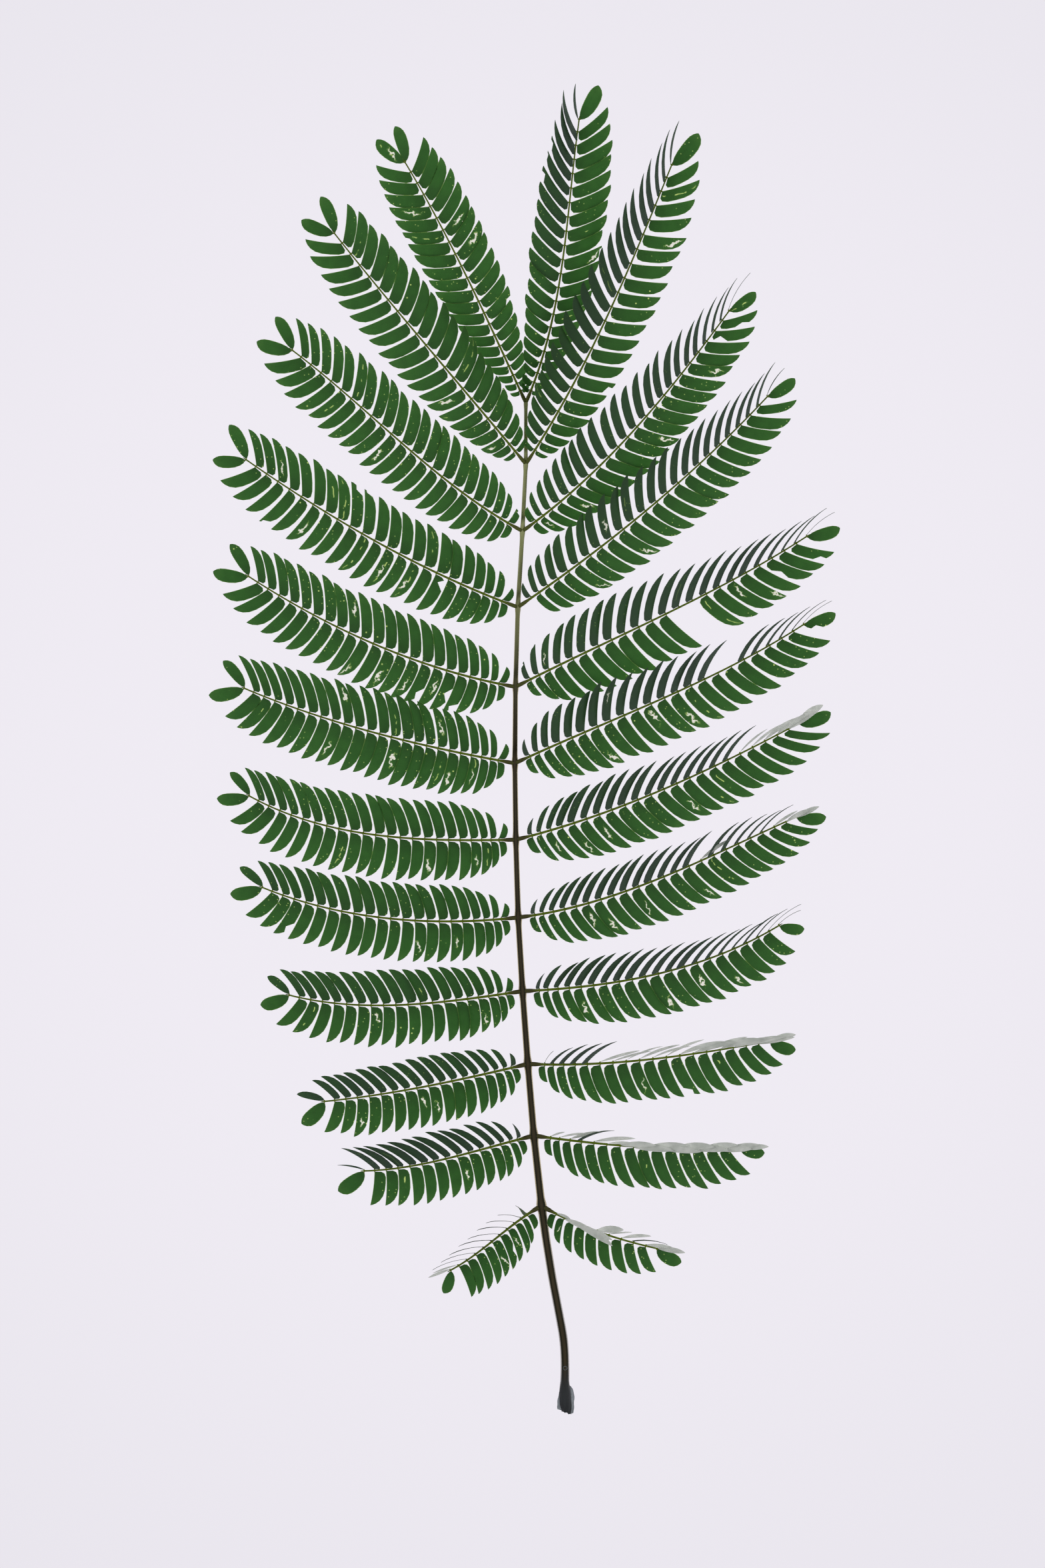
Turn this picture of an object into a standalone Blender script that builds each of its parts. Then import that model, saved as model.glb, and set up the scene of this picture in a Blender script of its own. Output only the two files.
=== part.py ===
"""A bipinnate compound leaf, picked and lying flat on a surface.

The leaf has one main stalk (the petiole and rachis, grown as one with the swollen base) and
twelve pairs of pinnae. Each pinna is a thin side stalk with two rows of small leaflets.
The script builds one closed mesh for the main stalk and one for each pinna.

Lengths in the tables are millimetres and angles are degrees. The leaf lies in the XY plane
with its tip towards +Y, and Z is up. MM turns the lengths into Blender's metres.
"""
import math

import bmesh
import bpy
import numpy as np

MM = 0.001

# ---------------------------------------------------------------- driving dimensions
LEAFLET_WIDTH = 2.9  # a full-sized leaflet, margin to margin
LEAFLET_THICKNESS = 0.55  # under the midrib, where a leaflet is thickest
LEAFLET_WIDEST = 0.55  # share of its length where a leaflet is widest
FIRST_PAIR_AT = 4.4  # from the knot to the first pair of leaflets
FIRST_ROOT_LENGTH = 1.0  # the first leaflet of a row grows from this much of the stalk
FORK_EXTRA = 3.1  # further out than that on pinna 1; the square of its number divides it
SIDE_STALK_RADIUS = 0.5  # a pinna's own stalk, at its foot
SIDE_STALK_TIP_RADIUS = 0.3
CUSHION_RADIUS = 0.75  # the dark swelling at the foot of each pinna
FORK_START = 2.3  # from the fork to the feet of the two end pinnae
FORK_STUB = 1.3  # how far the main stalk reaches beyond the fork
GAP = 0.35  # clearance between a pinna's foot and the main stalk
FLOOR_CLEARANCE = 0.05  # the least height of any leaflet corner above the surface
TIP_HEIGHT = 0.4  # height of a pinna's stalk at its far end
FRONT_SHARE = 0.12  # how far a leaflet bulges in front of the line from its root to its tip
END_PAIR_ANGLE = 32.0  # the two leaflets at the far end of a pinna open like this
LEAF_SHARE_OF_SPACING = 0.76  # a leaflet's width as a share of the space it has
ON_EDGE = 0.35  # a leaflet turned further than this cosine keeps the width it has there
FOOT_ABOVE_AXIS = 0.45  # a pinna leaves the main stalk on its upper side
CUSHION_SHARE = 0.6  # how much of the bare foot of a pinna is swollen
BASE_LEAN = 6.0  # how far the lower main stalk leans to the left

# The row of leaflets that faces the leaf's base hangs nearly flat on every pinna.
OUTER_END_ANGLE = 48.0
OUTER_TURN = 4.0
OUTER_DROOP = 0.85
OUTER_TIP_HEIGHT = 0.2
FOOT_EXTRA_OUTER = 16.0  # the first leaflets of a row stand this much wider
FOOT_EXTRA_INNER = 26.0  # but not on pinnae 1 and 2, where there is no room between the pair

# The main stalk, from the cut base to the fork: x, y and radius.
MAIN_STALK = [
    (11.8, -199.0, 2.3),
    (11.6, -196.5, 2.8),
    (11.6, -193.0, 2.4),
    (11.7, -189.5, 1.45),
    (11.8, -184.0, 1.30),
    (11.4, -177.0, 1.30),
    (10.1, -170.0, 1.28),
    (7.9, -158.5, 1.26),
    (5.9, -146.0, 1.24),
]

# The knots where the pairs of pinnae stand, from the base to the fork: x, y and stalk radius.
KNOTS = {
    12: (4.7, -137.0, 1.22),
    11: (2.4, -116.0, 1.08),
    10: (0.6, -94.5, 1.02),
    9: (-1.0, -72.7, 0.96),
    8: (-2.3, -50.6, 0.90),
    7: (-3.0, -27.3, 0.84),
    6: (-3.3, -4.4, 0.78),
    5: (-3.1, 18.5, 0.73),
    4: (-2.4, 42.4, 0.68),
    3: (-1.0, 65.2, 0.63),
    2: (0.0, 85.3, 0.58),
    1: (0.0, 103.7, 0.50),
}
KNOT_SWELLING = 0.28  # how far a knot stands out beyond the stalk
KNOT_HALF_LENGTH = 1.6

# One row for each pinna, counted from the leaf's tip: length, direction at the foot, in the
# middle and at the tip (anticlockwise from +X), number of leaflet pairs, height of the arch.
LEFT_PINNAE = [
    (80.8, 115, 116, 121, 22, 1.2),
    (90, 130, 130, 128, 22, 4.2),
    (88, 152, 139, 143, 23, 2.6),
    (93, 160, 151, 145, 23, 3.2),
    (87.3, 170, 157, 147, 23, 2.6),
    (84.4, 170, 165, 157, 24, 3.0),
    (82, 181, 173, 151, 23, 2.4),
    (78, 186, 174, 158, 22, 3.0),
    (70.4, 188, 183, 166, 20, 2.6),
    (62, 193, 191, 186, 18, 2.8),
    (52, 193, 194, 182, 15, 2.4),
    (33.4, 208, 219, 209, 11, 2.2),
]
RIGHT_PINNAE = [
    (86.8, 66, 82, 82, 22, 3.4),
    (100, 56, 65, 68, 23, 5.2),
    (91, 35, 48, 54, 23, 4.2),
    (98.2, 34, 40, 47, 24, 4.6),
    (98.4, 27, 26, 33, 23, 3.6),
    (96.2, 25, 24, 33, 23, 3.6),
    (92, 14, 23, 28, 23, 3.4),
    (89, 7, 22, 24, 23, 3.6),
    (80.2, 3, 13, 31, 21, 3.4),
    (73, -2, 6, 10, 19, 3.4),
    (62, -7, -4, 3, 16, 3.2),
    (37, -29, -20, -14, 10, 3.0),
]

# How the leaflets are held on each pinna, 1 to 12. The inner row faces the leaf's tip: its
# full length, its angle to the stalk in the middle and at the end of the row, the turn of its
# first and last leaflet about their own length (0 is flat, 90 is on edge) and its rise as a
# share of length. The outer row faces the leaf's base: its full length and its middle angle.
LEFT_HOLD = [
    (12.6, 62, 46, 4, 6, -0.06, 12.4, 66),
    (12.8, 64, 46, 4, 6, 0.12, 12.8, 75),
    (13.0, 67, 42, 4, 6, 0.12, 13.0, 80),
    (12.8, 70, 42, 4, 6, 0.12, 13.2, 81),
    (12.8, 68, 43, 4, 8, 0.12, 13.0, 81),
    (12.8, 68, 43, 4, 8, 0.12, 13.2, 83),
    (12.2, 70, 40, 6, 14, 0.12, 12.4, 85),
    (11.5, 72, 40, 8, 20, 0.12, 12.4, 86),
    (11.2, 66, 38, 16, 32, 0.14, 12.2, 87),
    (10.2, 60, 40, 28, 46, 0.19, 11.8, 86),
    (11.0, 52, 34, 42, 60, 0.20, 12.2, 87),
    (10.4, 34, 13, 78, 82, 0.21, 12.0, 68),
]
RIGHT_HOLD = [
    (13.0, 54, 24, 38, 62, 0.26, 12.8, 66),
    (13.4, 56, 18, 38, 72, 0.24, 12.8, 70),
    (13.2, 64, 20, 42, 76, 0.22, 13.2, 66),
    (13.8, 60, 20, 44, 78, 0.22, 13.2, 68),
    (13.6, 58, 14, 46, 80, 0.22, 13.8, 69),
    (13.2, 56, 10, 48, 82, 0.22, 13.6, 71),
    (13.0, 48, 10, 48, 82, 0.22, 14.0, 64),
    (12.6, 46, 10, 50, 82, 0.22, 13.4, 65),
    (12.5, 44, 10, 52, 82, 0.22, 13.2, 68),
    (12.2, 30, 10, 64, 82, 0.20, 13.0, 70),
    (12.2, 20, 6, 76, 82, 0.16, 13.2, 66),
    (11.6, 22, 14, 76, 80, 0.18, 11.5, 56),
]


# ---------------------------------------------------------------- the leaf's plan
def blend(first, middle, last, t):
    """Quadratic through three values, at t = 0, 1/2 and 1."""
    return first * (1 - t) * (1 - 2 * t) + middle * 4 * t * (1 - t) + last * t * (2 * t - 1)


def side_stalk_plan(knot, row, steps=240):
    """Walk along a pinna in short steps; each step goes the way that blend gives there."""
    length, foot, middle, tip = row[:4]
    t = (np.arange(steps) + 0.5) / steps
    heading = np.radians(blend(foot, middle, tip, t))
    stride = length / steps
    x = knot[0] + np.concatenate([[0.0], np.cumsum(np.cos(heading))]) * stride
    y = knot[1] + np.concatenate([[0.0], np.cumsum(np.sin(heading))]) * stride
    return np.linspace(0.0, length, steps + 1), x, y


def pair_places(number, length, pairs):
    """Distance of each pair of leaflets from the knot; the first few pairs stand closer."""
    first = FIRST_PAIR_AT + FORK_EXTRA / number**2
    gaps = 1.0 - 0.32 * np.exp(-np.arange(pairs - 1) / 1.8)
    run = np.concatenate([[0.0], np.cumsum(gaps)])
    return first + (length - first) * run / run[-1]


def leaflet_lengths(pairs, full):
    """Short beside the knot, full size from the sixth pair, a little shorter at the end."""
    rank = np.arange(pairs)
    share = 1.0 - 0.53 * np.exp(-rank / 1.7)
    share *= 1.0 - 0.08 * np.clip((rank - pairs + 5) / 4.0, 0.0, 1.0)
    share[-1] = 0.82
    return full * share


def leaflet_angles(pairs, middle, end, foot_extra):
    """Angle between a leaflet and its stalk: wide at the foot, narrow at the far end."""
    rank = np.arange(pairs)
    t = rank / (pairs - 1)
    angle = middle + foot_extra * np.exp(-rank / 2.0)
    angle += (end - middle) * np.clip((t - 0.35) / 0.62, 0.0, 1.0) ** 1.5
    angle[-1] = min(END_PAIR_ANGLE, end)
    return angle


# ---------------------------------------------------------------- building blocks
def new_object(name, mesh_from_bmesh, collection, color, roughness):
    """Put a bmesh into a named object with its own Principled material."""
    bmesh.ops.recalc_face_normals(mesh_from_bmesh, faces=mesh_from_bmesh.faces)
    mesh = bpy.data.meshes.new(name)
    mesh_from_bmesh.to_mesh(mesh)
    mesh_from_bmesh.free()
    thing = bpy.data.objects.new(name, mesh)
    collection.objects.link(thing)
    material = bpy.data.materials.new(name + "_surface")
    material.use_nodes = True
    shader = material.node_tree.nodes["Principled BSDF"]
    shader.inputs["Base Color"].default_value = (*color, 1.0)
    shader.inputs["Roughness"].default_value = roughness
    mesh.materials.append(material)
    return thing


def add_loft(bm, rings):
    """Skin a list of equal rings of points into a tube with a face over each end."""
    loops = [[bm.verts.new(point) for point in ring] for ring in rings]
    sides = len(loops[0])
    for lower, upper in zip(loops[:-1], loops[1:]):
        for a in range(sides):
            b = (a + 1) % sides
            bm.faces.new((lower[a], lower[b], upper[b], upper[a]))
    bm.faces.new(loops[0])
    bm.faces.new(loops[-1])
    return loops


# ---------------------------------------------------------------- main stalk
def main_stalk_stations():
    """Stations along the main stalk, each x, y and radius: a knot is a thick one between two thin."""
    stations = [list(point) for point in MAIN_STALK]
    previous = stations[-1]
    for number in sorted(KNOTS, reverse=True):
        x, y, radius = KNOTS[number]
        run = math.hypot(x - previous[0], y - previous[1])
        along = np.array([(x - previous[0]) / run, (y - previous[1]) / run])
        for part in (1 / 3, 2 / 3):
            stations.append([a + part * (b - a) for a, b in zip(previous, (x, y, radius))])
        before = np.array([x, y]) - along * KNOT_HALF_LENGTH
        stations.append([*before, radius])
        stations.append([x, y, radius + KNOT_SWELLING])
        after = np.array([x, y]) + along * (KNOT_HALF_LENGTH if number > 1 else FORK_STUB)
        stations.append([*after, radius])
        previous = (x, y, radius)
    return np.array(stations)


def build_main_stalk(collection):
    """A ten-sided tube along the stations, with a flat side down that rests on the surface."""
    stations = main_stalk_stations()
    heading = np.gradient(stations[:, :2], axis=0)
    heading /= np.linalg.norm(heading, axis=1)[:, None]
    sides = 10
    turn = 2 * math.pi * (np.arange(sides) + 0.5) / sides - math.pi / 2
    flat_height = math.cos(math.pi / sides)
    rings = []
    for (x, y, radius), (dx, dy) in zip(stations, heading):
        across = np.cos(turn) * radius
        up = (np.sin(turn) + flat_height) * radius
        rings.append([((x + dy * a) * MM, (y - dx * a) * MM, z * MM) for a, z in zip(across, up)])
    bm = bmesh.new()
    add_loft(bm, rings)
    return new_object("rachis", bm, collection, (0.080, 0.055, 0.030), 0.55)


# ---------------------------------------------------------------- pinnae
def leaflet_frames(number, side, inner, hold, roots, headings):
    """Front and rear corner of the widest place, and the tip, of every leaflet in one row."""
    pairs = len(roots)
    t = np.arange(pairs) / (pairs - 1)
    inner_length, inner_angle, inner_end, first_turn, last_turn, rise, outer_length, outer_angle = hold
    if inner:
        spread = FOOT_EXTRA_INNER * min(1.0, max(0.0, (number - 2) / 3))
        angle = leaflet_angles(pairs, inner_angle, inner_end, spread)
        length = leaflet_lengths(pairs, inner_length)
        turn = np.radians(first_turn + (last_turn - first_turn) * t)
        climb = rise * length
    else:
        angle = leaflet_angles(pairs, outer_angle, OUTER_END_ANGLE, FOOT_EXTRA_OUTER)
        length = leaflet_lengths(pairs, outer_length)
        turn = np.radians(np.full(pairs, OUTER_TURN))
        climb = OUTER_DROOP * (OUTER_TIP_HEIGHT - roots[:, 2])
    plan = headings + side * np.radians(angle)
    outward = np.stack([np.cos(plan), np.sin(plan), climb / length], axis=1)
    outward /= np.linalg.norm(outward, axis=1)[:, None]
    forward = np.stack([np.sin(plan) * side, -np.cos(plan) * side, np.zeros(pairs)], axis=1)
    front = roots + outward * (length * LEAFLET_WIDEST)[:, None]
    space = np.abs(np.einsum("ij,ij->i", np.diff(front, axis=0), forward[1:]))
    room = LEAF_SHARE_OF_SPACING * np.minimum(np.insert(space, 0, space[0]), np.append(space, space[-1]))
    width = np.minimum(LEAFLET_WIDTH, room / np.maximum(np.cos(turn), ON_EDGE))
    across = forward * np.cos(turn)[:, None]
    across[:, 2] -= np.sin(turn)
    front = front + across * (FRONT_SHARE * width)[:, None]
    rear = front - across * width[:, None]
    point = roots + outward * length[:, None]
    lowest = np.minimum(front[:, 2], rear[:, 2])
    lift = np.maximum(0.0, FLOOR_CLEARANCE - lowest)
    front[:, 2] += lift
    rear[:, 2] += lift
    point[:, 2] = np.maximum(point[:, 2], FLOOR_CLEARANCE)
    return front, rear, point


def foot_distance(number, knot, foot):
    """How far from the middle of its knot a pinna starts, so that it clears the main stalk."""
    if number == 1:
        return FORK_START
    along_stalk = math.radians(90.0 + BASE_LEAN * (number > 9))
    lean = abs(math.sin(foot - along_stalk))
    slant = math.sqrt(1.0 - lean * lean)
    return (knot[2] + KNOT_SWELLING + GAP + CUSHION_RADIUS * slant) / lean


def build_pinna(name, number, row, hold, side_of_leaf, collection, color):
    """A four-sided stalk with one leaflet drawn out of each flank between its rings."""
    knot = KNOTS[number]
    length, foot, middle_way, tip_way, pairs, arch = row
    walked, walk_x, walk_y = side_stalk_plan(knot, row)
    places = pair_places(number, length, pairs)
    edges = np.concatenate([[places[0] - FIRST_ROOT_LENGTH], places])
    start = foot_distance(number, knot, math.radians(foot))
    stations = np.concatenate([[start, start + CUSHION_SHARE * (edges[0] - start)], edges])
    swell = np.zeros(len(stations))
    swell[:2] = CUSHION_RADIUS - SIDE_STALK_RADIUS
    share = stations / length
    radius = SIDE_STALK_RADIUS + (SIDE_STALK_TIP_RADIUS - SIDE_STALK_RADIUS) * share + swell
    x = np.interp(stations, walked, walk_x)
    y = np.interp(stations, walked, walk_y)
    heading = np.radians(blend(foot, middle_way, tip_way, share))
    root_height = knot[2] + FOOT_ABOVE_AXIS
    bow = np.sin(math.pi * share**0.8)
    height = root_height + (TIP_HEIGHT - root_height) * share + arch * bow
    left = np.stack([-np.sin(heading), np.cos(heading), np.zeros(len(x))], axis=1)
    centre = np.stack([x, y, height], axis=1)
    up = np.array([0.0, 0.0, 1.0])

    bm = bmesh.new()
    rings = []
    for i in range(len(stations)):
        corners = (
            centre[i] + up * radius[i],
            centre[i] + left[i] * radius[i],
            centre[i] - up * radius[i],
            centre[i] - left[i] * radius[i],
        )
        rings.append([bm.verts.new(corner * MM) for corner in corners])
    top, left_edge, bottom, right_edge = range(4)
    bm.faces.new(rings[0])
    bm.faces.new(rings[-1])
    for i in range(len(rings) - 1):
        near, far = rings[i], rings[i + 1]
        bm.faces.new((near[left_edge], near[bottom], far[bottom], far[left_edge]))
        bm.faces.new((near[right_edge], near[bottom], far[bottom], far[right_edge]))
        if i < 2:
            bm.faces.new((near[left_edge], near[top], far[top], far[left_edge]))
            bm.faces.new((near[right_edge], near[top], far[top], far[right_edge]))
        else:
            bm.faces.new((near[top], far[left_edge], far[top]))
            bm.faces.new((near[top], far[right_edge], far[top]))

    for side, edge in ((1, left_edge), (-1, right_edge)):
        inner = side == side_of_leaf
        front, rear, point = leaflet_frames(number, side, inner, hold, centre[3:], heading[3:])
        for i in range(pairs):
            near, far = rings[i + 2], rings[i + 3]
            foot_ring = (near[top], near[edge], far[edge])
            blade_up = np.cross(point[i] - centre[i + 3], front[i] - rear[i]) * -side
            ridge = blade_up * LEAFLET_THICKNESS / np.linalg.norm(blade_up)
            wide = ((front[i] + rear[i]) / 2 + ridge, rear[i], front[i])
            wide_ring = [bm.verts.new(corner * MM) for corner in wide]
            end = bm.verts.new(point[i] * MM)
            for a in range(3):
                b = (a + 1) % 3
                bm.faces.new((foot_ring[a], foot_ring[b], wide_ring[b], wide_ring[a]))
                bm.faces.new((wide_ring[a], wide_ring[b], end))
    return new_object(name, bm, collection, color, 0.5)


# ---------------------------------------------------------------- the whole leaf
def main():
    for thing in list(bpy.data.objects):
        bpy.data.objects.remove(thing, do_unlink=True)
    leaf = bpy.data.collections.new("compound_leaf")
    bpy.context.scene.collection.children.link(leaf)
    build_main_stalk(leaf)
    for i in range(len(KNOTS)):
        number = i + 1
        green = (0.030 + 0.002 * (i % 3), 0.120 + 0.006 * (i % 4), 0.022)
        name = f"pinna_left_{number:02d}"
        build_pinna(name, number, LEFT_PINNAE[i], LEFT_HOLD[i], -1, leaf, green)
        name = f"pinna_right_{number:02d}"
        build_pinna(name, number, RIGHT_PINNAE[i], RIGHT_HOLD[i], 1, leaf, green)


main()
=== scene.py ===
# %% [markdown]
# # A feathery leaf on a light table
# The object is a bipinnate leaf: one central stalk, twelve pairs of side stalks (pinnae), and two
# rows of small leaflets on every side stalk. It lies flat, lit from below, and is seen from
# straight above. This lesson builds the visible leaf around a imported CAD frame. The frame comes
# first, because every piece takes its place from it.

# %% Load the frame
import math
import bpy
import numpy as np
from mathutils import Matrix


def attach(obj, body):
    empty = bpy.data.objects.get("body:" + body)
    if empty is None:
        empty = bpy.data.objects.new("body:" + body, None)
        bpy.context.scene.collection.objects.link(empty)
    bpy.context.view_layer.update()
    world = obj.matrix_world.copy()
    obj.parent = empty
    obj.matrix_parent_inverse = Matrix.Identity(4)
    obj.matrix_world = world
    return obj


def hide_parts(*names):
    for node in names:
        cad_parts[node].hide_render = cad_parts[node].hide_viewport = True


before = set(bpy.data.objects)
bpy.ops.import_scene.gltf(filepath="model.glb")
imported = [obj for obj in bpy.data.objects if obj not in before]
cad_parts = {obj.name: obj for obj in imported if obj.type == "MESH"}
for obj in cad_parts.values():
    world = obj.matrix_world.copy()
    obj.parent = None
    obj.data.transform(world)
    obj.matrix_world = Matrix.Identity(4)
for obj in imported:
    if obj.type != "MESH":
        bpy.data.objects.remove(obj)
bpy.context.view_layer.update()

MM = 0.001

# %% [markdown]
# ## The plan of the leaf
# Lengths are millimetres and angles are degrees, as a botanist would note them down. Each row of
# the pinna tables says how long a side stalk is, which way it points at its foot, its middle and
# its tip, how many pairs of leaflets it has, and how high it arches. The tables of knots and
# pinnae are the same as in the CAD, so the pieces land where the frame has them. Only the foot of
# the central stalk is slimmer here, because its torn skin is a set of pieces of its own.

# %% Driving dimensions
LEFT, RIGHT = "left", "right"
MAIN_STALK = [
    (12.2, -199.0, 1.35), (11.9, -196.5, 1.75), (11.6, -193.0, 1.7), (11.7, -189.5, 1.30),
    (11.8, -184.0, 1.30), (11.4, -177.0, 1.30), (10.1, -170.0, 1.28), (7.9, -158.5, 1.26),
    (5.9, -146.0, 1.24),
]
KNOTS = {
    12: (4.7, -137.0, 1.22), 11: (2.4, -116.0, 1.08), 10: (0.6, -94.5, 1.02),
    9: (-1.0, -72.7, 0.96), 8: (-2.3, -50.6, 0.90), 7: (-3.0, -27.3, 0.84),
    6: (-3.3, -4.4, 0.78), 5: (-3.1, 18.5, 0.73), 4: (-2.4, 42.4, 0.68),
    3: (-1.0, 65.2, 0.63), 2: (0.0, 85.3, 0.58), 1: (0.0, 103.7, 0.50),
}
PINNAE = {
    (LEFT, 1): (80.8, 115, 116, 121, 22, 1.2), (RIGHT, 1): (86.8, 66, 82, 82, 22, 3.4),
    (LEFT, 2): (90, 130, 130, 128, 22, 4.2), (RIGHT, 2): (100, 56, 65, 68, 23, 5.2),
    (LEFT, 3): (88, 152, 139, 143, 23, 2.6), (RIGHT, 3): (91, 35, 48, 54, 23, 4.2),
    (LEFT, 4): (93, 160, 151, 145, 23, 3.2), (RIGHT, 4): (98.2, 34, 40, 47, 24, 4.6),
    (LEFT, 5): (87.3, 170, 157, 147, 23, 2.6), (RIGHT, 5): (98.4, 27, 26, 33, 23, 3.6),
    (LEFT, 6): (84.4, 170, 165, 157, 24, 3.0), (RIGHT, 6): (96.2, 25, 24, 33, 23, 3.6),
    (LEFT, 7): (82, 181, 173, 151, 23, 2.4), (RIGHT, 7): (92, 14, 23, 28, 23, 3.4),
    (LEFT, 8): (78, 186, 174, 158, 22, 3.0), (RIGHT, 8): (89, 7, 22, 24, 23, 3.6),
    (LEFT, 9): (70.4, 188, 183, 166, 20, 2.6), (RIGHT, 9): (80.2, 3, 13, 31, 21, 3.4),
    (LEFT, 10): (62, 193, 191, 186, 18, 2.8), (RIGHT, 10): (73, -2, 6, 10, 19, 3.4),
    (LEFT, 11): (52, 193, 194, 182, 15, 2.4), (RIGHT, 11): (62, -7, -4, 3, 16, 3.2),
    (LEFT, 12): (33.4, 208, 219, 209, 11, 2.2), (RIGHT, 12): (37, -29, -20, -14, 10, 3.0),
}
print(len(PINNAE), "pinnae with", 2 * sum(row[4] for row in PINNAE.values()), "leaflets")

# %% [markdown]
# ## How the leaflets are held
# On a living leaf the two rows fold together at night. When the leaf dries on a table the row
# that faces the leaf's base (the outer row) lies flat, while the row that faces the tip (the inner
# row) turns up on its edge, much more on the right-hand side. For each pinna the first table gives
# the inner row's length, angle near the foot, angle at the end, first turn, last turn, how late
# along the row the turn comes, and rise, and then the outer row's length, angle and end angle. A
# turn of 0 is flat and 90 is on edge. The second table gives the last two leaflets of a pinna,
# which stand in a V: length and angle of the outer one, then of the inner one. Growth says how much
# smaller the first leaflet of a row is, over how many ranks it catches up, and how that eases. The
# last table lists the leaflets that have dropped off, by row and rank.

# %% Leaflet postures
HOLD = {
    (LEFT, 1): (12.8, 66, 46, 8, 8, 1, 0.02, 12.4, 66, 46),
    (LEFT, 2): (13.6, 64, 46, 10, 10, 1, 0.12, 12.8, 75, 44),
    (LEFT, 3): (13.6, 67, 41, 8, 8, 1, 0.12, 13.0, 84, 47),
    (LEFT, 4): (13.2, 69, 39, 8, 8, 1, 0.12, 13.3, 85, 55),
    (LEFT, 5): (13.2, 66, 42, 10, 14, 1, 0.12, 13.0, 82, 50),
    (LEFT, 6): (13.4, 66, 42, 10, 14, 1, 0.12, 13.4, 84, 60),
    (LEFT, 7): (12.6, 69, 36, 10, 16, 2, 0.12, 12.4, 87, 60),
    (LEFT, 8): (11.6, 71, 38, 12, 20, 2, 0.12, 12.4, 87, 61),
    (LEFT, 9): (11.6, 67, 37, 16, 24, 2, 0.14, 12.0, 87, 61),
    (LEFT, 10): (10.6, 56, 44, 25, 37, 2, 0.18, 11.8, 86, 64),
    (LEFT, 11): (12.4, 48, 34, 36, 49, 2, 0.18, 12.0, 87, 78),
    (LEFT, 12): (10.6, 30, 10, 82, 84, 1, 0.20, 12.0, 70, 76),
    (RIGHT, 1): (13.2, 66, 20, 14, 70, 3, 0.20, 13.4, 60, 42),
    (RIGHT, 2): (14.0, 64, 14, 22, 74, 2.4, 0.24, 12.8, 71, 38),
    (RIGHT, 3): (13.4, 70, 10, 22, 74, 2.2, 0.22, 13.4, 62, 38),
    (RIGHT, 4): (13.4, 63, 16, 24, 76, 2.6, 0.22, 13.2, 68, 38),
    (RIGHT, 5): (14.0, 58, 9, 27, 80, 1.8, 0.22, 14.0, 72, 44),
    (RIGHT, 6): (13.3, 58, 6, 30, 80, 1.6, 0.22, 13.6, 75, 46),
    (RIGHT, 7): (13.2, 45, 6, 33, 80, 1.4, 0.22, 14.2, 64, 32),
    (RIGHT, 8): (12.5, 44, 8, 35, 80, 1.3, 0.22, 13.4, 65, 34),
    (RIGHT, 9): (12.5, 43, 8, 38, 80, 1.2, 0.22, 13.2, 68, 66),
    (RIGHT, 10): (12.0, 31, 8, 60, 70, 1, 0.18, 13.0, 71, 50),
    (RIGHT, 11): (12.0, 20, 2, 60, 70, 1, 0.12, 13.3, 67, 50),
    (RIGHT, 12): (11.0, 20, 4, 60, 70, 1, 0.12, 11.5, 68, 53),
}
END_LEAFLETS = {
    (LEFT, 1): (10.7, 19, 11.0, 14), (RIGHT, 1): (11.6, 20, 10.6, 12),
    (LEFT, 2): (10.4, 29, 11.4, 16), (RIGHT, 2): (12.3, 17, 13.2, 11),
    (LEFT, 3): (10.8, 22, 10.9, 25), (RIGHT, 3): (9.6, 17, 13.0, 5),
    (LEFT, 4): (9.8, 34, 11.3, 28), (RIGHT, 4): (9.7, 12, 9.8, 10),
    (LEFT, 5): (10.5, 24, 10.8, 26), (RIGHT, 5): (10.1, 17, 11.0, 6),
    (LEFT, 6): (10.6, 33, 10.1, 28), (RIGHT, 6): (10.0, 12, 11.0, 5),
    (LEFT, 7): (9.5, 32, 8.9, 20), (RIGHT, 7): (10.0, 7, 10.5, 6),
    (LEFT, 8): (9.6, 32, 8.9, 18), (RIGHT, 8): (8.8, 22, 8.5, 6),
    (LEFT, 9): (8.9, 31, 8.4, 25), (RIGHT, 9): (7.4, 37, 8.0, 2),
    (LEFT, 10): (9.4, 37, 8.4, 19), (RIGHT, 10): (8.0, 27, 9.0, 6),
    (LEFT, 11): (9.7, 34, 8.2, 12), (RIGHT, 11): (7.4, 13, 9.0, 2),
    (LEFT, 12): (7.0, 42, 7.0, 8), (RIGHT, 12): (8.3, 13, 8.4, 6),
}
GROWTH = {1: (0.78, 6.5, 1.5), 2: (0.70, 4.2, 1.1), 3: (0.66, 3.0, 0.8), 4: (0.66, 2.6, 0.8)}
MISSING = {
    "outer": {(RIGHT, 4): (0,), (RIGHT, 5): (12, 13)},
    "inner": {(RIGHT, 6): (15, 16)},
}
print(len(HOLD), "pinnae held,", len(END_LEAFLETS), "end pairs")

# %% [markdown]
# Insects have fed on this leaf. A bite is a notch in a leaflet's back margin, given by its place
# along the blade and its depth. A window is a patch where only a pale skin is left, given by its
# place along and across the blade. Both are listed by row and rank.

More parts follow.
